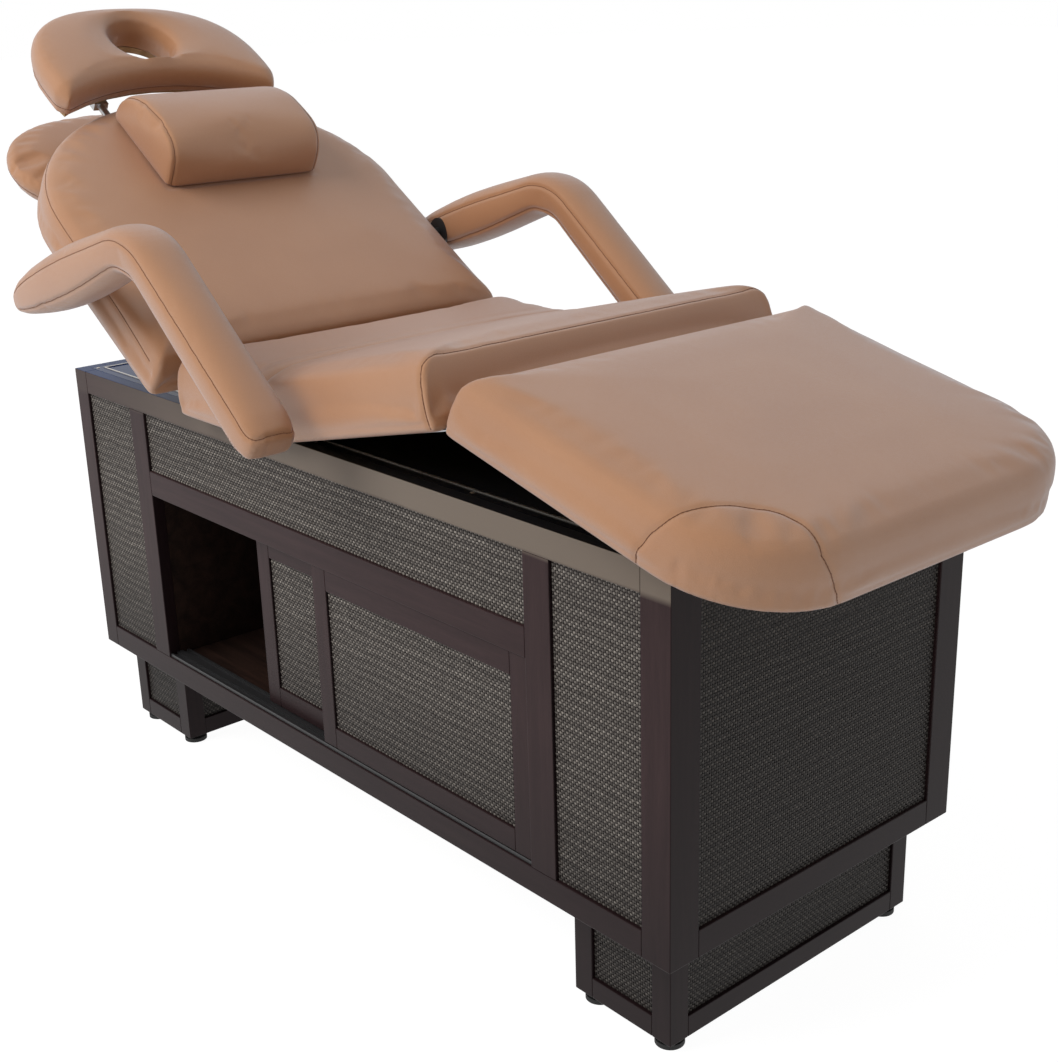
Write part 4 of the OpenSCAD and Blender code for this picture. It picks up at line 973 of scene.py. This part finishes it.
class COUCH_OT_stage(bpy.types.Operator):
    """Lays the pale floor and sets the soft studio light"""
    bl_idname = "couch.stage"
    bl_label = "Stage"

    def execute(self, context):
        stage = context.scene.couch_stage
        context.scene.view_settings.view_transform = "Standard"
        far = FLOOR_REACH
        floor = mesh_object("floor", [(-far, -far, 0), (far, -far, 0), (far, far, 0), (-far, far, 0)],
                            [(0, 1, 2, 3)])
        material, tree, shader = new_material("pale_floor")
        shader.inputs["Roughness"].default_value = 0.9
        dust = noise(tree, Vector=place_of(tree), Scale=3.0, Detail=3.0)
        pale = mixed(tree, times(tree, dust, 0.1), rgba(stage.floor), (0.8, 0.8, 0.8, 1.0))
        tree.links.new(pale, shader.inputs["Base Color"])
        glow = node(tree, "ShaderNodeEmission", Strength=1.16)
        mix = node(tree, "ShaderNodeMixShader", i_0=times(tree, seen_rays(tree), 0.82),
                   i_1=shader.outputs[0], i_2=glow.outputs[0])
        tree.links.new(mix.outputs[0], tree.nodes["Material Output"].inputs[0])
        floor.data.materials.append(material)

        world = context.scene.world or bpy.data.worlds.new("studio")
        context.scene.world = world
        world.use_nodes = True
        tree = world.node_tree
        tree.nodes.clear()
        strength = node(tree, "ShaderNodeMix", i_0=seen_rays(tree), i_2=stage.sky, i_3=1.0).outputs[0]
        back = node(tree, "ShaderNodeBackground", Color=(1, 1, 1, 1), Strength=strength)
        tree.links.new(back.outputs[0], tree.nodes.new("ShaderNodeOutputWorld").inputs[0])

        middle = (0.05, 0, 0.6)
        soft_box("key", (-1.2, -3.3, 3.6), middle, 3.0, stage.key, (1.0, 0.985, 0.965))
        soft_box("fill", (3.8, 0.6, 1.6), middle, 2.5, stage.fill)
        return {"FINISHED"}


# ---------------------------------------------------------------------------------------------
# Carried-over solids
# ---------------------------------------------------------------------------------------------

class COUCH_OT_solids(bpy.types.Operator):
    """Gives each solid that the frame carries over the finish of its slot"""
    bl_idname = "couch.solids"
    bl_label = "Boards inside and metalwork"

    def execute(self, context):
        slots = {s["node"]: s["material_slot"] for s in frame["record"]["subparts"]}
        for name, obj in frame["nodes"].items():
            material = finish(slots[name])
            if not obj.material_slots:
                obj.data.materials.append(material)
            for place in obj.material_slots:
                place.link = "OBJECT"
                place.material = material
        return {"FINISHED"}


# ---------------------------------------------------------------------------------------------
# Stained boards
# ---------------------------------------------------------------------------------------------

def block(low, high, grain):
    """A straight board: its outline square to the grain, and the run along it."""
    a, b = [k for k in range(3) if k != grain]
    outline = [(low[a], low[b]), (high[a], low[b]), (high[a], high[b]), (low[a], high[b])]
    return outline, (low[grain], high[grain]), grain


def corner(x, y, run, leg_x, leg_y, thick):
    """An L-shaped corner post; the legs' signs say which way they point."""
    sx, sy = math.copysign(thick, leg_x), math.copysign(thick, leg_y)
    outline = [(x, y), (x + leg_x, y), (x + leg_x, y + sy), (x + sx, y + sy), (x + sx, y + leg_y),
               (x, y + leg_y)]
    return outline, run, 2


def boards(name, body, sticks, nodes, ease=1.2, finish_name="dark_wood"):
    """Boards with eased edges, each with its grain along its length on the UV map."""
    whole = bmesh.new()
    whole.loops.layers.uv.new("grain")
    for count, (outline, run, grain) in enumerate(sticks):
        bm = bmesh.new()
        layer = bm.loops.layers.uv.new("grain")
        a, b = [k for k in range(3) if k != grain]
        ends = []
        for at in run:
            ring = []
            for p in outline:
                co = [0.0, 0.0, 0.0]
                co[a], co[b], co[grain] = p[0], p[1], at
                ring.append(bm.verts.new(co))
            ends.append(ring)
        n = len(outline)
        bm.faces.new(ends[0])
        bm.faces.new(ends[1])
        for k in range(n):
            bm.faces.new((ends[0][k], ends[0][(k + 1) % n], ends[1][(k + 1) % n], ends[1][k]))
        bmesh.ops.recalc_face_normals(bm, faces=bm.faces)
        bmesh.ops.bevel(bm, geom=bm.edges, offset=ease, segments=2, profile=0.5, affect="EDGES",
                        clamp_overlap=True)
        shift = (count * 0.37) % 1.0
        for face in bm.faces:
            wide = a if abs(face.normal[b]) > abs(face.normal[a]) else b
            for loop in face.loops:
                co = loop.vert.co
                loop[layer].uv = (co[grain] * MM + 3.1 * shift, co[wide] * MM + shift)
        part = bpy.data.meshes.new("part")
        bm.to_mesh(part)
        bm.free()
        whole.from_mesh(part)
        bpy.data.meshes.remove(part)
    obj = gathered(name, whole)
    put(obj, CABINET_FRAME)
    return finish_piece(obj, body, finish(finish_name), nodes)


def side_boards(side, grooved):
    """Rails and stiles of one long side of the cabinet."""
    y = sorted((side * CAB_Y, side * (CAB_Y - BOARD)))
    run = (HEAD_BAY[0], FOOT_BAY[1])
    sticks = [block((run[0], y[0], z[0]), (run[1], y[1], z[1]), 0) for z in (RAIL_TOP, RAIL_LOW)]
    for x in ((HEAD_BAY[1], DOORWAY[0]), (DOORWAY[1], FOOT_BAY[0])):
        sticks.append(block((x[0], y[0], RAIL_LOW[1]), (x[1], y[1], RAIL_TOP[0]), 2))
    low, high = (DOORWAY[0], y[0], RAIL_MID[0]), (DOORWAY[1], y[1], RAIL_MID[1])
    if grooved:
        g0, g1, deep = -285.8, -277.2, RAIL_MID[0] + 6
        outline = [(y[0], low[2]), (g0, low[2]), (g0, deep), (g1, deep), (g1, low[2]), (y[1], low[2]),
                   (y[1], high[2]), (y[0], high[2])]
        sticks.append((outline, (low[0], high[0]), 0))
    else:
        sticks.append(block(low, high, 0))
    return sticks


def door_boards(x, y):
    """Frame and running tongues of one sliding door."""
    x1, w, t, z = x + DOOR_L, DOOR_STILE, DOOR_T, DOOR_Z
    sticks = [block((a, y, z[0]), (a + w, y + t, z[1]), 2) for a in (x, x1 - w)]
    sticks += [block((x + w, y, a), (x1 - w, y + t, a + w), 0) for a in (z[0], z[1] - w)]
    sticks += [block((x, y + t / 4, a), (x1, y + t * 3 / 4, b), 0) for a, b in DOOR_TONGUES]
    return sticks


def plinth_boards(x):
    """Posts and rails of one plinth."""
    y, z, w, t, rail = PLINTH_Y, PLINTH_Z, PLINTH_STILE, PLINTH_BOARD, PLINTH_RAIL
    sticks = [corner(x[i], sy * y, z, (w, -w)[i], -sy * w, t) for i in (0, 1) for sy in (-1, 1)]
    for z0 in (z[0], z[1] - rail):
        sticks += [block((x[0] + w, a, z0), (x[1] - w, a + t, z0 + rail), 0) for a in (-y, y - t)]
        sticks += [block((a, w - y, z0), (a + t, y - w, z0 + rail), 1) for a in (x[0], x[1] - t)]
    return sticks


class COUCH_OT_boards(bpy.types.Operator):
    """Makes the stained frame boards of the cabinet, doors and plinths"""
    bl_idname = "couch.boards"
    bl_label = "Stained boards"

    def execute(self, context):
        posts = [corner(sx * CAB_X, sy * CAB_Y, (CAB_Z, TOP), -sx * w, -sy * END_POST, BOARD)
                 for sx, w in ((-1, HEAD_POST), (1, FOOT_POST)) for sy in (-1, 1)]
        boards("corner_boards", "cabinet", posts, ["corner_posts"])
        boards("front_boards", "cabinet", side_boards(-1, True), ["front_frame"])
        boards("rear_boards", "cabinet", side_boards(1, False), ["rear_frame"])
        ends = [block((x, END_POST - CAB_Y, z[0]), (x + BOARD, CAB_Y - END_POST, z[1]), 1)
                for x in (-CAB_X, CAB_X - BOARD) for z in (RAIL_LOW, RAIL_TOP)]
        boards("end_boards", "cabinet", ends, ["end_rails"])
        for door, place in DOORS.items():
            boards(door + "_boards", door, door_boards(*place), [door + "_frame"])
        boards("head_plinth_boards", "base", plinth_boards(HEAD_PLINTH), ["head_plinth"])
        boards("foot_plinth_boards", "base", plinth_boards(FOOT_PLINTH), ["foot_plinth"])
        return {"FINISHED"}


# ---------------------------------------------------------------------------------------------
# Woven panels
# ---------------------------------------------------------------------------------------------

def woven(name, body, fields):
    """Woven strands over panels; a field is its low corner, its high corner and the way that it faces."""
    weave = bpy.context.scene.couch_weave
    tree = tree_named("Woven field", weave_tree)
    facing = {"-y": (0, Matrix.Rotation(math.pi / 2, 4, "X")),
              "+y": (0, Matrix.Rotation(math.pi, 4, "Z") @ Matrix.Rotation(math.pi / 2, 4, "X")),
              "+x": (1, Matrix.Rotation(math.pi / 2, 4, "Z") @ Matrix.Rotation(math.pi / 2, 4, "X")),
              "-x": (1, Matrix.Rotation(-math.pi / 2, 4, "Z") @ Matrix.Rotation(math.pi / 2, 4, "X"))}
    whole = bmesh.new()
    for count, (low, high, way) in enumerate(fields):
        along, turn = facing[way]
        part = mesh_object("part", [(0, 0, 0)], [])
        run_nodes(part, tree, {"Width": (high[along] - low[along]) * MM,
                               "Height": (high[2] - low[2]) * MM, "Pitch": weave.pitch,
                               "Rise": weave.rise, "Weft": weave.weft, "Warp": weave.warp,
                               "Seed": weave.seed + count, "Finish": finish("woven_strands")})
        middle = Vector([(low[k] + high[k]) / 2 + (MID if k == 0 else 0) for k in range(3)]) * MM
        part.data.transform(Matrix.Translation(middle) @ turn)
        whole.from_mesh(part.data)
        bpy.data.meshes.remove(part.data)
    return finish_piece(gathered(name, whole), body, finish("woven_strands"))


def side_fields(side, low_panel):
    """Woven fields of one long side."""
    y, way = side * (CAB_Y - PANEL_FACE), "-y" if side < 0 else "+y"
    fields = [((x[0], y, RAIL_LOW[1]), (x[1], y, RAIL_TOP[0]), way) for x in (HEAD_BAY, FOOT_BAY)]
    fields.append(((DOORWAY[0], y, RAIL_MID[1]), (DOORWAY[1], y, RAIL_TOP[0]), way))
    if low_panel:
        fields.append(((DOORWAY[0], y, RAIL_LOW[1]), (DOORWAY[1], y, RAIL_MID[0]), way))
    return fields


def plinth_fields(x):
    """Woven fields round one plinth."""
    z, inset = (PLINTH_Z[0] + PLINTH_RAIL, PLINTH_Z[1] - PLINTH_RAIL), PLINTH_STILE
    fields = []
    for side, way in ((-1, "-y"), (1, "+y")):
        y = side * (PLINTH_Y - PANEL_FACE)
        fields.append(((x[0] + inset, y, z[0]), (x[1] - inset, y, z[1]), way))
    for at, way in ((x[0] + PANEL_FACE, "-x"), (x[1] - PANEL_FACE, "+x")):
        fields.append(((at, inset - PLINTH_Y, z[0]), (at, PLINTH_Y - inset, z[1]), way))
    return fields


class COUCH_OT_weave(bpy.types.Operator):
    """Weaves the panels of the cabinet, doors and plinths"""
    bl_idname = "couch.weave"
    bl_label = "Woven panels"

    def execute(self, context):
        woven("front_weave", "cabinet", side_fields(-1, False))
        rear = side_fields(1, True)
        woven("rear_weave", "cabinet", rear[:3])
        woven("rear_low_weave", "cabinet", rear[3:])
        half = CAB_Y - END_POST
        for name, side, way in (("head_weave", -1, "-x"), ("foot_weave", 1, "+x")):
            at = side * (CAB_X - PANEL_FACE)
            woven(name, "cabinet", [((at, -half, RAIL_LOW[1]), (at, half, RAIL_TOP[0]), way)])
        for door, (x, y) in DOORS.items():
            low = (x + DOOR_STILE, y + DOOR_PANEL, DOOR_Z[0] + DOOR_STILE)
            high = (x + DOOR_L - DOOR_STILE, y + DOOR_PANEL, DOOR_Z[1] - DOOR_STILE)
            woven(door + "_weave", door, [(low, high, "-y")])
        woven("head_plinth_weave", "base", plinth_fields(HEAD_PLINTH))
        woven("foot_plinth_weave", "base", plinth_fields(FOOT_PLINTH))
        return {"FINISHED"}


# ---------------------------------------------------------------------------------------------
# Cushions
# ---------------------------------------------------------------------------------------------

def sew(name, obj, line, body, closed=False, depth=None):
    """Sews a seam into a cushion that already stands in the couch's frame; the line is in its metres."""
    soft = bpy.context.scene.couch_cushions
    run = spline(line, 0.002, closed)
    run = laid_on(obj, run, 0.0)
    draw_in(obj, run, soft.seam_depth if depth is None else depth, 0.0035)
    run = laid_on(obj, run, 0.00025)
    seam = mesh_object(name, run, [], [(k, k + 1) for k in range(len(run) - 1)])
    run_nodes(seam, tree_named("Sewn seam", seam_tree),
              {"Step": soft.stitch, "Thread": soft.thread, "Finish": finish("thread")})
    return finish_piece(seam, body, finish("thread"))


def in_place(matrix, line):
    """A line of own millimetres in the couch's metres."""
    return [matrix @ Vector(p) for p in line]


def upholstered(obj, body, nodes):
    """Finishes a cushion: leather, smooth shading, its body, and the solids that it stands for."""
    obj.data.shade_smooth()
    finish_piece(obj, body, finish("tan_leather"), nodes)
    return obj


def push(rows, low, high, axis, value):
    """Pushes the points inside a box to one plane, to leave room for a fitting."""
    inside = np.all((rows > np.array(low)) & (rows < np.array(high)), axis=1)
    rows[inside, axis] = value
    return rows


# Ripples of the seat's fold: rise, place from the thigh's axis, sway and width
FOLD_RIPPLES = ((-5.0, -3, 1, 13), (2.6, 30, 0.6, 15), (1.4, -34, 0.4, 11), (-1.0, -58, -1, 10))


def seat_fold(rows):
    """Soft fold across the seat where the thigh section turns up, with the room for the back's hinges."""
    x, y, z = rows.T.copy()
    across = x - THIGH_AXIS[0]
    drift = 5 * np.sin(y / 95) + 3 * np.sin(y / 41 + 1)
    high = np.clip((z - 65) / 30, 0, 1)
    ripple = sum(rise * np.exp(-((across - at - sway * drift) / width) ** 2)
                 for rise, at, sway, width in FOLD_RIPPLES)
    rows[:, 2] = z + ripple * high
    side = np.clip((np.abs(y) - 325) / 18, 0, 1) * np.clip(z / 40, 0, 1)
    rows[:, 1] = y - np.sign(y) * side * 4.0 * np.exp(-(across / 12) ** 2)
    for s in (-1, 1):
        y0, y1 = s * HINGE_Y - HINGE_HALF, s * HINGE_Y + HINGE_HALF
        rows = push(rows, (-400, y0, -1), (-287, y1, 80), 0, -286)
    return push(rows, (-400, -26, -1), (-236, 26, 24), 0, -235)


def bend_thigh(rows):
    """Turns the part past the thigh's axis up to its slope, over a short soft bend."""
    reach, steps = 30.0, 120
    x, z = rows[:, 0] - THIGH_AXIS[0], rows[:, 2] - THIGH_AXIS[1]
    at = np.linspace(-reach, reach, steps + 1)
    share = (at + reach) / (2 * reach)
    angle = THIGH_ANGLE * (3 * share ** 2 - 2 * share ** 3)
    px = np.concatenate([[-reach], -reach + np.cumsum(np.cos(angle[1:]) * (2 * reach / steps))])
    pz = np.concatenate([[0], np.cumsum(np.sin(angle[1:]) * (2 * reach / steps))])
    theta = np.interp(x, at, angle)
    past = np.maximum(x - reach, 0)
    bx = np.where(x < -reach, x, np.interp(x, at, px) + past * math.cos(THIGH_ANGLE))
    bz = np.where(x < -reach, 0, np.interp(x, at, pz) + past * math.sin(THIGH_ANGLE))
    rows[:, 0] = THIGH_AXIS[0] + bx - z * np.sin(theta)
    rows[:, 2] = THIGH_AXIS[1] + bz + z * np.cos(theta)
    return rows


class COUCH_OT_seat(bpy.types.Operator):
    """Upholsters the seat and the thigh section as one cushion, shaped with a bend between them"""
    bl_idname = "couch.seat"
    bl_label = "Seat and thigh cushion"

    def execute(self, context):
        soft = context.scene.couch_cushions
        x0, x1 = -298, THIGH_AXIS[0] + 427
        side = [(i, z + 2) for i, z in pad_side(104, PAD_ROUND, PAD_CROWN, 320)]
        rings = rings_of(lambda i: pad_plan(x0, x1, PAD_HALF, 12, 12, 1.167, 0.35, i), side)
        obj = cushion("seat_pad", rings, soft.cell, under=12, shape=seat_fold)
        set_points(obj, bend_thigh(points_of(obj)))
        put(obj, SEAT_FRAME)
        edge = []
        for y, z in ((-340, 6), (-346, 35), (-345, 66), (-336, 88), (-322, 99), (-300, 105), (-240, 107.5),
                     (-120, 110), (0, 111.5), (120, 110), (240, 107.5), (300, 105), (322, 99), (336, 88),
                     (345, 66), (346, 35), (340, 6)):
            edge.append((x1 - 13, y, z))
        rim = bend_thigh(np.array(edge, dtype=float))
        sew("thigh_edge_seam", obj, in_place(SEAT_FRAME, rim), "thigh")
        upholstered(obj, None, ["seat_cushion", "thigh_cushion"])
        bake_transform(obj)
        return {"FINISHED"}


class COUCH_OT_leg(bpy.types.Operator):
    """Upholsters the leg section, with its corner gusset"""
    bl_idname = "couch.leg"
    bl_label = "Leg cushion"

    def execute(self, context):
        soft = context.scene.couch_cushions
        start = 3
        rings = rings_of(lambda i: pad_plan(start, LEG_L, PAD_HALF, 12, LEG_FOOT_ROUND, 0.6, 1, i),
                         pad_side(92, PAD_ROUND, PAD_CROWN, 300))
        for ring in rings:
            lean = math.tan(math.radians(7)) * ring[:, 2]
            ring[:, 0] += lean * (LEG_L - ring[:, 0]) / (LEG_L - start)
        obj = cushion("leg_pad", rings, soft.cell)
        put(obj, LEG_FRAME)
        # The photograph shows a gusset at the near foot corner and none at the far one
        line = [(361, -342, 5), (363, -345, 24), (371, -345, 48), (384, -340, 70), (391, -326, 84),
                (400, -306, 92), (412, -283, 94), (430, -256, 95), (453, -234, 95), (478, -224, 94),
                (503, -222, 91), (524, -225, 85), (537, -227, 76), (544, -220, 62), (546, -208, 40),
                (544, -190, 6)]
        sew("gusset_seam", obj, in_place(LEG_FRAME, line), "leg")
        upholstered(obj, "leg", ["leg_cushion"])
        return {"FINISHED"}


def back_hollows(rows):
    """Room under the back's cover for its hinge forks, and the flat where the bolster lies."""
    for s in (-1, 1):
        y0, y1 = s * HINGE_Y - HINGE_HALF, s * HINGE_Y + HINGE_HALF
        rows = push(rows, (-1, y0, -110), (124, y1, -35), 2, -34)
    under = (rows[:, 0] > 387) & (rows[:, 0] < 607) & (rows[:, 1] > -145) & (rows[:, 1] < 171)
    rows[under, 2] = np.minimum(rows[under, 2], 6.9)
    return rows


class COUCH_OT_back(bpy.types.Operator):
    """Upholsters the back section"""
    bl_idname = "couch.back"
    bl_label = "Back cushion"

    def execute(self, context):
        soft = context.scene.couch_cushions
        side = [(i, z - BACK_LIFT) for i, z in pad_side(BACK_LIFT, PAD_ROUND, PAD_CROWN, 330)]
        rings = rings_of(lambda i: back_plan(min(i, 270), 1.167), side)
        obj = cushion("back_pad", rings, soft.cell, under=-90, shape=back_hollows)
        put(obj, BACK_FRAME)
        rim = [(40, -356, -40), (150, -357, -30), (300, -357, -26), (380, -355, -24)]
        for t in range(-75, 76, 15):
            c, s = math.cos(math.radians(t)), math.sin(math.radians(t))
            rim.append((BACK_STRAIGHT + (BACK_END - 4) * c, (BACK_HALF - 4) * s, -22))
        rim += [(380, 355, -24), (300, 357, -26), (150, 357, -30), (40, 356, -40)]
        sew("back_rim_seam", obj, in_place(BACK_FRAME, rim), "back", depth=0.0010)
        upholstered(obj, "back", ["back_cushion"])
        return {"FINISHED"}


class COUCH_OT_headrest(bpy.types.Operator):
    """Upholsters the headrest with its face hole"""
    bl_idname = "couch.headrest"
    bl_label = "Headrest cushion"

    def execute(self, context):
        soft = context.scene.couch_cushions
        t, r = 70, 28.8
        outer = [(10, 0), (3, t * 0.2), (0, t * 0.45), (0, t - r), (r * 0.12, t - r * 0.6),
                 (r * 0.3, t - r * 0.3), (r * 0.6, t - r * 0.1), (r, t)]
        inner = [(r * 0.6, t), (r * 0.2, t - r * 0.3), (0, t / 2), (3.3, 0)]

        def hole(i, z):
            flat = []
            for p in head_plan(0):
                a = math.atan2(p[1], p[0] - HOLE_AT)
                flat.append((HOLE_AT + (HOLE_L + i) * math.cos(a), (HOLE_W + i) * math.sin(a), z))
            return np.array(flat)

        rings = [np.column_stack([head_plan(i), np.full(120, float(z))]) for i, z in outer]
        top = rings[-1]
        rings.append((top + hole(r * 0.6, t)) / 2 + np.array([0, 0, 3.5]))
        rings += [hole(i, z) for i, z in inner]
        for ring in rings:
            ring[:, 2] -= 17
        obj = cushion("headrest_pad", rings, soft.cell_small, hollow=True, under=-13)
        put(obj, BACK_FRAME)
        line = [(p[0], p[1], -6) for p in evenly(head_plan(1), 60)]
        sew("headrest_seam", obj, in_place(BACK_FRAME, line), "headrest", closed=True, depth=0.0008)
        upholstered(obj, "headrest", ["headrest_cushion"])
        return {"FINISHED"}


class COUCH_OT_shelf(bpy.types.Operator):
    """Upholsters the arm shelf under the headrest"""
    bl_idname = "couch.shelf"
    bl_label = "Arm shelf cushion"

    def execute(self, context):
        soft = context.scene.couch_cushions
        side = [(i, z - SHELF_DROP) for i, z in pad_side(50, 18, PAD_CROWN, SHELF_L) if i != 40 and z != 9]
        obj = cushion("arm_shelf_pad", rings_of(shelf_plan, side), soft.cell_small, under=-206)
        put(obj, BACK_FRAME)
        line = [(p[0], p[1], -196) for p in evenly(shelf_plan(1), 60)]
        sew("arm_shelf_seam", obj, in_place(BACK_FRAME, line), "arm_shelf", closed=True, depth=0.0008)
        upholstered(obj, "arm_shelf", ["shelf_cushion"])
        return {"FINISHED"}


# Middle line of an armrest: a straight front limb, a bend and a rear limb
ARM_FRONT, ARM_CORNER, ARM_BEND, ARM_REAR = np.array((617, -154)), np.array((303, 98)), 100, 398
ARM_D = ARM_CORNER - ARM_FRONT
ARM_RISE = math.atan2(ARM_D[1], ARM_D[0])
ARM_SLOPE = math.radians(197.5)
ARM_TURN = ARM_SLOPE - ARM_RISE
ARM_LIMB = float(np.linalg.norm(ARM_D)) - ARM_BEND * math.tan(ARM_TURN / 2)
ARM_ARC = ARM_BEND * ARM_TURN
ARM_RUN = ARM_LIMB + ARM_ARC + ARM_REAR
# Half its thickness and width, and the shares of them along it
ARM_H, ARM_W = 34, 45
ARM_AT = [0, 0.012, 0.045, 0.1, 0.25, 0.36, 0.42, 0.48, 0.54, 0.6, 0.66, 0.72, 0.8, 0.88, 0.94, 0.98, 1]
ARM_THICK = [0.5, 0.8, 0.97, 1, 1, 0.98, 0.96, 0.98, 1.04, 1.14, 1.24, 1.3, 1.28, 1.16, 0.94, 0.66, 0.3]
ARM_WIDE = [0.8, 0.93, 1, 1, 1, 1, 1, 1, 1, 1, 1, 1, 1, 0.99, 0.95, 0.84, 0.6]


def arm_at(s):
    """Place and direction of the armrest's middle line at s from its front end."""
    u = np.array((math.cos(ARM_RISE), math.sin(ARM_RISE)))
    if s <= ARM_LIMB:
        return ARM_FRONT + s * u, ARM_RISE
    if s <= ARM_LIMB + ARM_ARC:
        a = ARM_RISE + (s - ARM_LIMB) / ARM_BEND
        middle = ARM_FRONT + ARM_LIMB * u + ARM_BEND * np.array((-u[1], u[0]))
        return middle + ARM_BEND * np.array((math.sin(a), -math.cos(a))), a
    a = ARM_SLOPE
    past = ARM_BEND * math.tan(ARM_TURN / 2) + s - ARM_LIMB - ARM_ARC
    return ARM_CORNER + past * np.array((math.cos(a), math.sin(a))), a


def arm_point(share, across, up):
    """A point of the armrest from its share of the length and its places across and up the section."""
    (x, z), a = arm_at(share * ARM_RUN)
    h, w = ARM_H * np.interp(share, ARM_AT, ARM_THICK), ARM_W * np.interp(share, ARM_AT, ARM_WIDE)
    v = up * h + (PAD_CROWN * (1 - across ** 2) if up > 0 else 0)
    return (x + v * math.sin(a), ARM_W + across * w, z - v * math.cos(a))


def arm_gathers(rows):
    """Small gathers under the seam at the front end of an armrest."""
    u = np.array((math.cos(ARM_RISE), math.sin(ARM_RISE)))
    along = (rows[:, 0] - ARM_FRONT[0]) * u[0] + (rows[:, 2] - ARM_FRONT[1]) * u[1]
    near = np.exp(-((along - 6) / 13) ** 2)
    ripple = np.sin(rows[:, 1] / 2.3) * (0.6 + 0.4 * np.sin(rows[:, 1] / 7.1))
    rows[:, 0] += 0.8 * near * ripple
    return rows


class COUCH_OT_armrests(bpy.types.Operator):
    """Upholsters both armrests"""
    bl_idname = "couch.armrests"
    bl_label = "Armrests"

    def execute(self, context):
        soft = context.scene.couch_cushions
        for side, name in ((-1, "right"), (1, "left")):
            rings = []
            for share in np.concatenate([np.linspace(0, 0.05, 8), np.linspace(0.07, 0.93, 60),
                                         np.linspace(0.94, 1, 10)]):
                ring = [power_arc(1, 1, 4, 7.5 * k) for k in range(48)]
                rings.append(np.array([arm_point(share, p[0], p[1]) for p in ring]))
            obj = cushion(name + "_armrest_pad", rings, soft.cell_small, under=-999, shape=arm_gathers)
            place = arm_frame(side)
            put(obj, place)
            body = name + "_armrest"
            for seam, up, margin in (("_top_seam", 0.62, 0.03), ("_lower_seam", -0.72, 0.04)):
                shares = np.linspace(margin, 1 - margin, 36)
                out = [arm_point(s, 0.99, up) for s in shares[::-1]]
                tip = [arm_point(0.012, a, up) for a in (0.7, 0.35, 0, -0.35, -0.7)]
                back = [arm_point(s, -0.99, up) for s in shares]
                sew(name + seam, obj, in_place(place, out + tip + back), body)
            upholstered(obj, body, [name + "_armrest"])
        return {"FINISHED"}


class COUCH_OT_bolster(bpy.types.Operator):
    """Upholsters the loose bolster"""
    bl_idname = "couch.bolster"
    bl_label = "Bolster"

    def execute(self, context):
        soft = context.scene.couch_cushions
        at, crest, deep, tall, wide = 385, 0.4, 225, 93, 320

        def end(share, size):
            ring = []
            for k in range(49):
                c, s = power_arc(1, tall, 3.4 if k > 24 else 2.2, 180 * k / 48)
                reach = (1 - crest) * deep if c > 0 else crest * deep
                ring.append((at + crest * deep + size * reach * c, 13 - wide / 2 + share * wide,
                             7.3 + size * s + (1 - size) * tall / 3))
            base = np.linspace(ring[-1], ring[0], 16)[1:-1]
            return np.vstack([ring, base])

        shares = (0, 0.012, 0.04, 0.09, 0.3, 0.5, 0.7, 0.91, 0.96, 0.988, 1)
        sizes = (0.84, 0.93, 0.98, 1, 1, 1, 1, 1, 0.98, 0.93, 0.84)
        rings = [end(a, b) for a, b in zip(shares, sizes)]
        obj = cushion("bolster_pad", rings, soft.cell_small, under=11)
        put(obj, BACK_FRAME)
        for name, share in (("right", 0.03), ("left", 0.97)):
            line = end(share, 0.965)[:49:3]
            sew("bolster_" + name + "_seam", obj, in_place(BACK_FRAME, line), "bolster")
        upholstered(obj, "bolster", ["bolster"])
        return {"FINISHED"}


# ---------------------------------------------------------------------------------------------
# Panel, registering and the run
# ---------------------------------------------------------------------------------------------

STEPS = ("camera", "stage", "solids", "boards", "weave", "seat", "leg", "back", "headrest", "shelf",
         "armrests", "bolster")


class COUCH_PT_panel(bpy.types.Panel):
    """Lists the couch's settings and pieces"""
    bl_idname = "COUCH_PT_panel"
    bl_label = "Treatment couch"
    bl_space_type = "VIEW_3D"
    bl_region_type = "UI"
    bl_category = "Couch"

    def draw(self, context):
        for name in GROUPS:
            group = getattr(context.scene, name)
            box = self.layout.box()
            box.label(text=name.split("_")[1].capitalize())
            for key in group.__annotations__:
                box.prop(group, key)
        for step in STEPS:
            self.layout.operator("couch." + step)


GROUPS = {"couch_colours": CouchColours, "couch_cushions": CouchCushions, "couch_weave": CouchWeave,
          "couch_stage": CouchStage}
CLASSES = (*GROUPS.values(), COUCH_OT_camera, COUCH_OT_stage, COUCH_OT_solids, COUCH_OT_boards,
           COUCH_OT_weave, COUCH_OT_seat, COUCH_OT_leg, COUCH_OT_back, COUCH_OT_headrest, COUCH_OT_shelf,
           COUCH_OT_armrests, COUCH_OT_bolster, COUCH_PT_panel)


def register():
    for cls in CLASSES:
        bpy.utils.register_class(cls)
    for name, group in GROUPS.items():
        setattr(bpy.types.Scene, name, bpy.props.PointerProperty(type=group))


def unregister():
    for name in GROUPS:
        delattr(bpy.types.Scene, name)
    for cls in reversed(CLASSES):
        bpy.utils.unregister_class(cls)


def main():
    """Makes every piece in order."""
    register()
    for step in STEPS:
        getattr(bpy.ops.couch, step)()


if __name__ == "__main__":
    main()
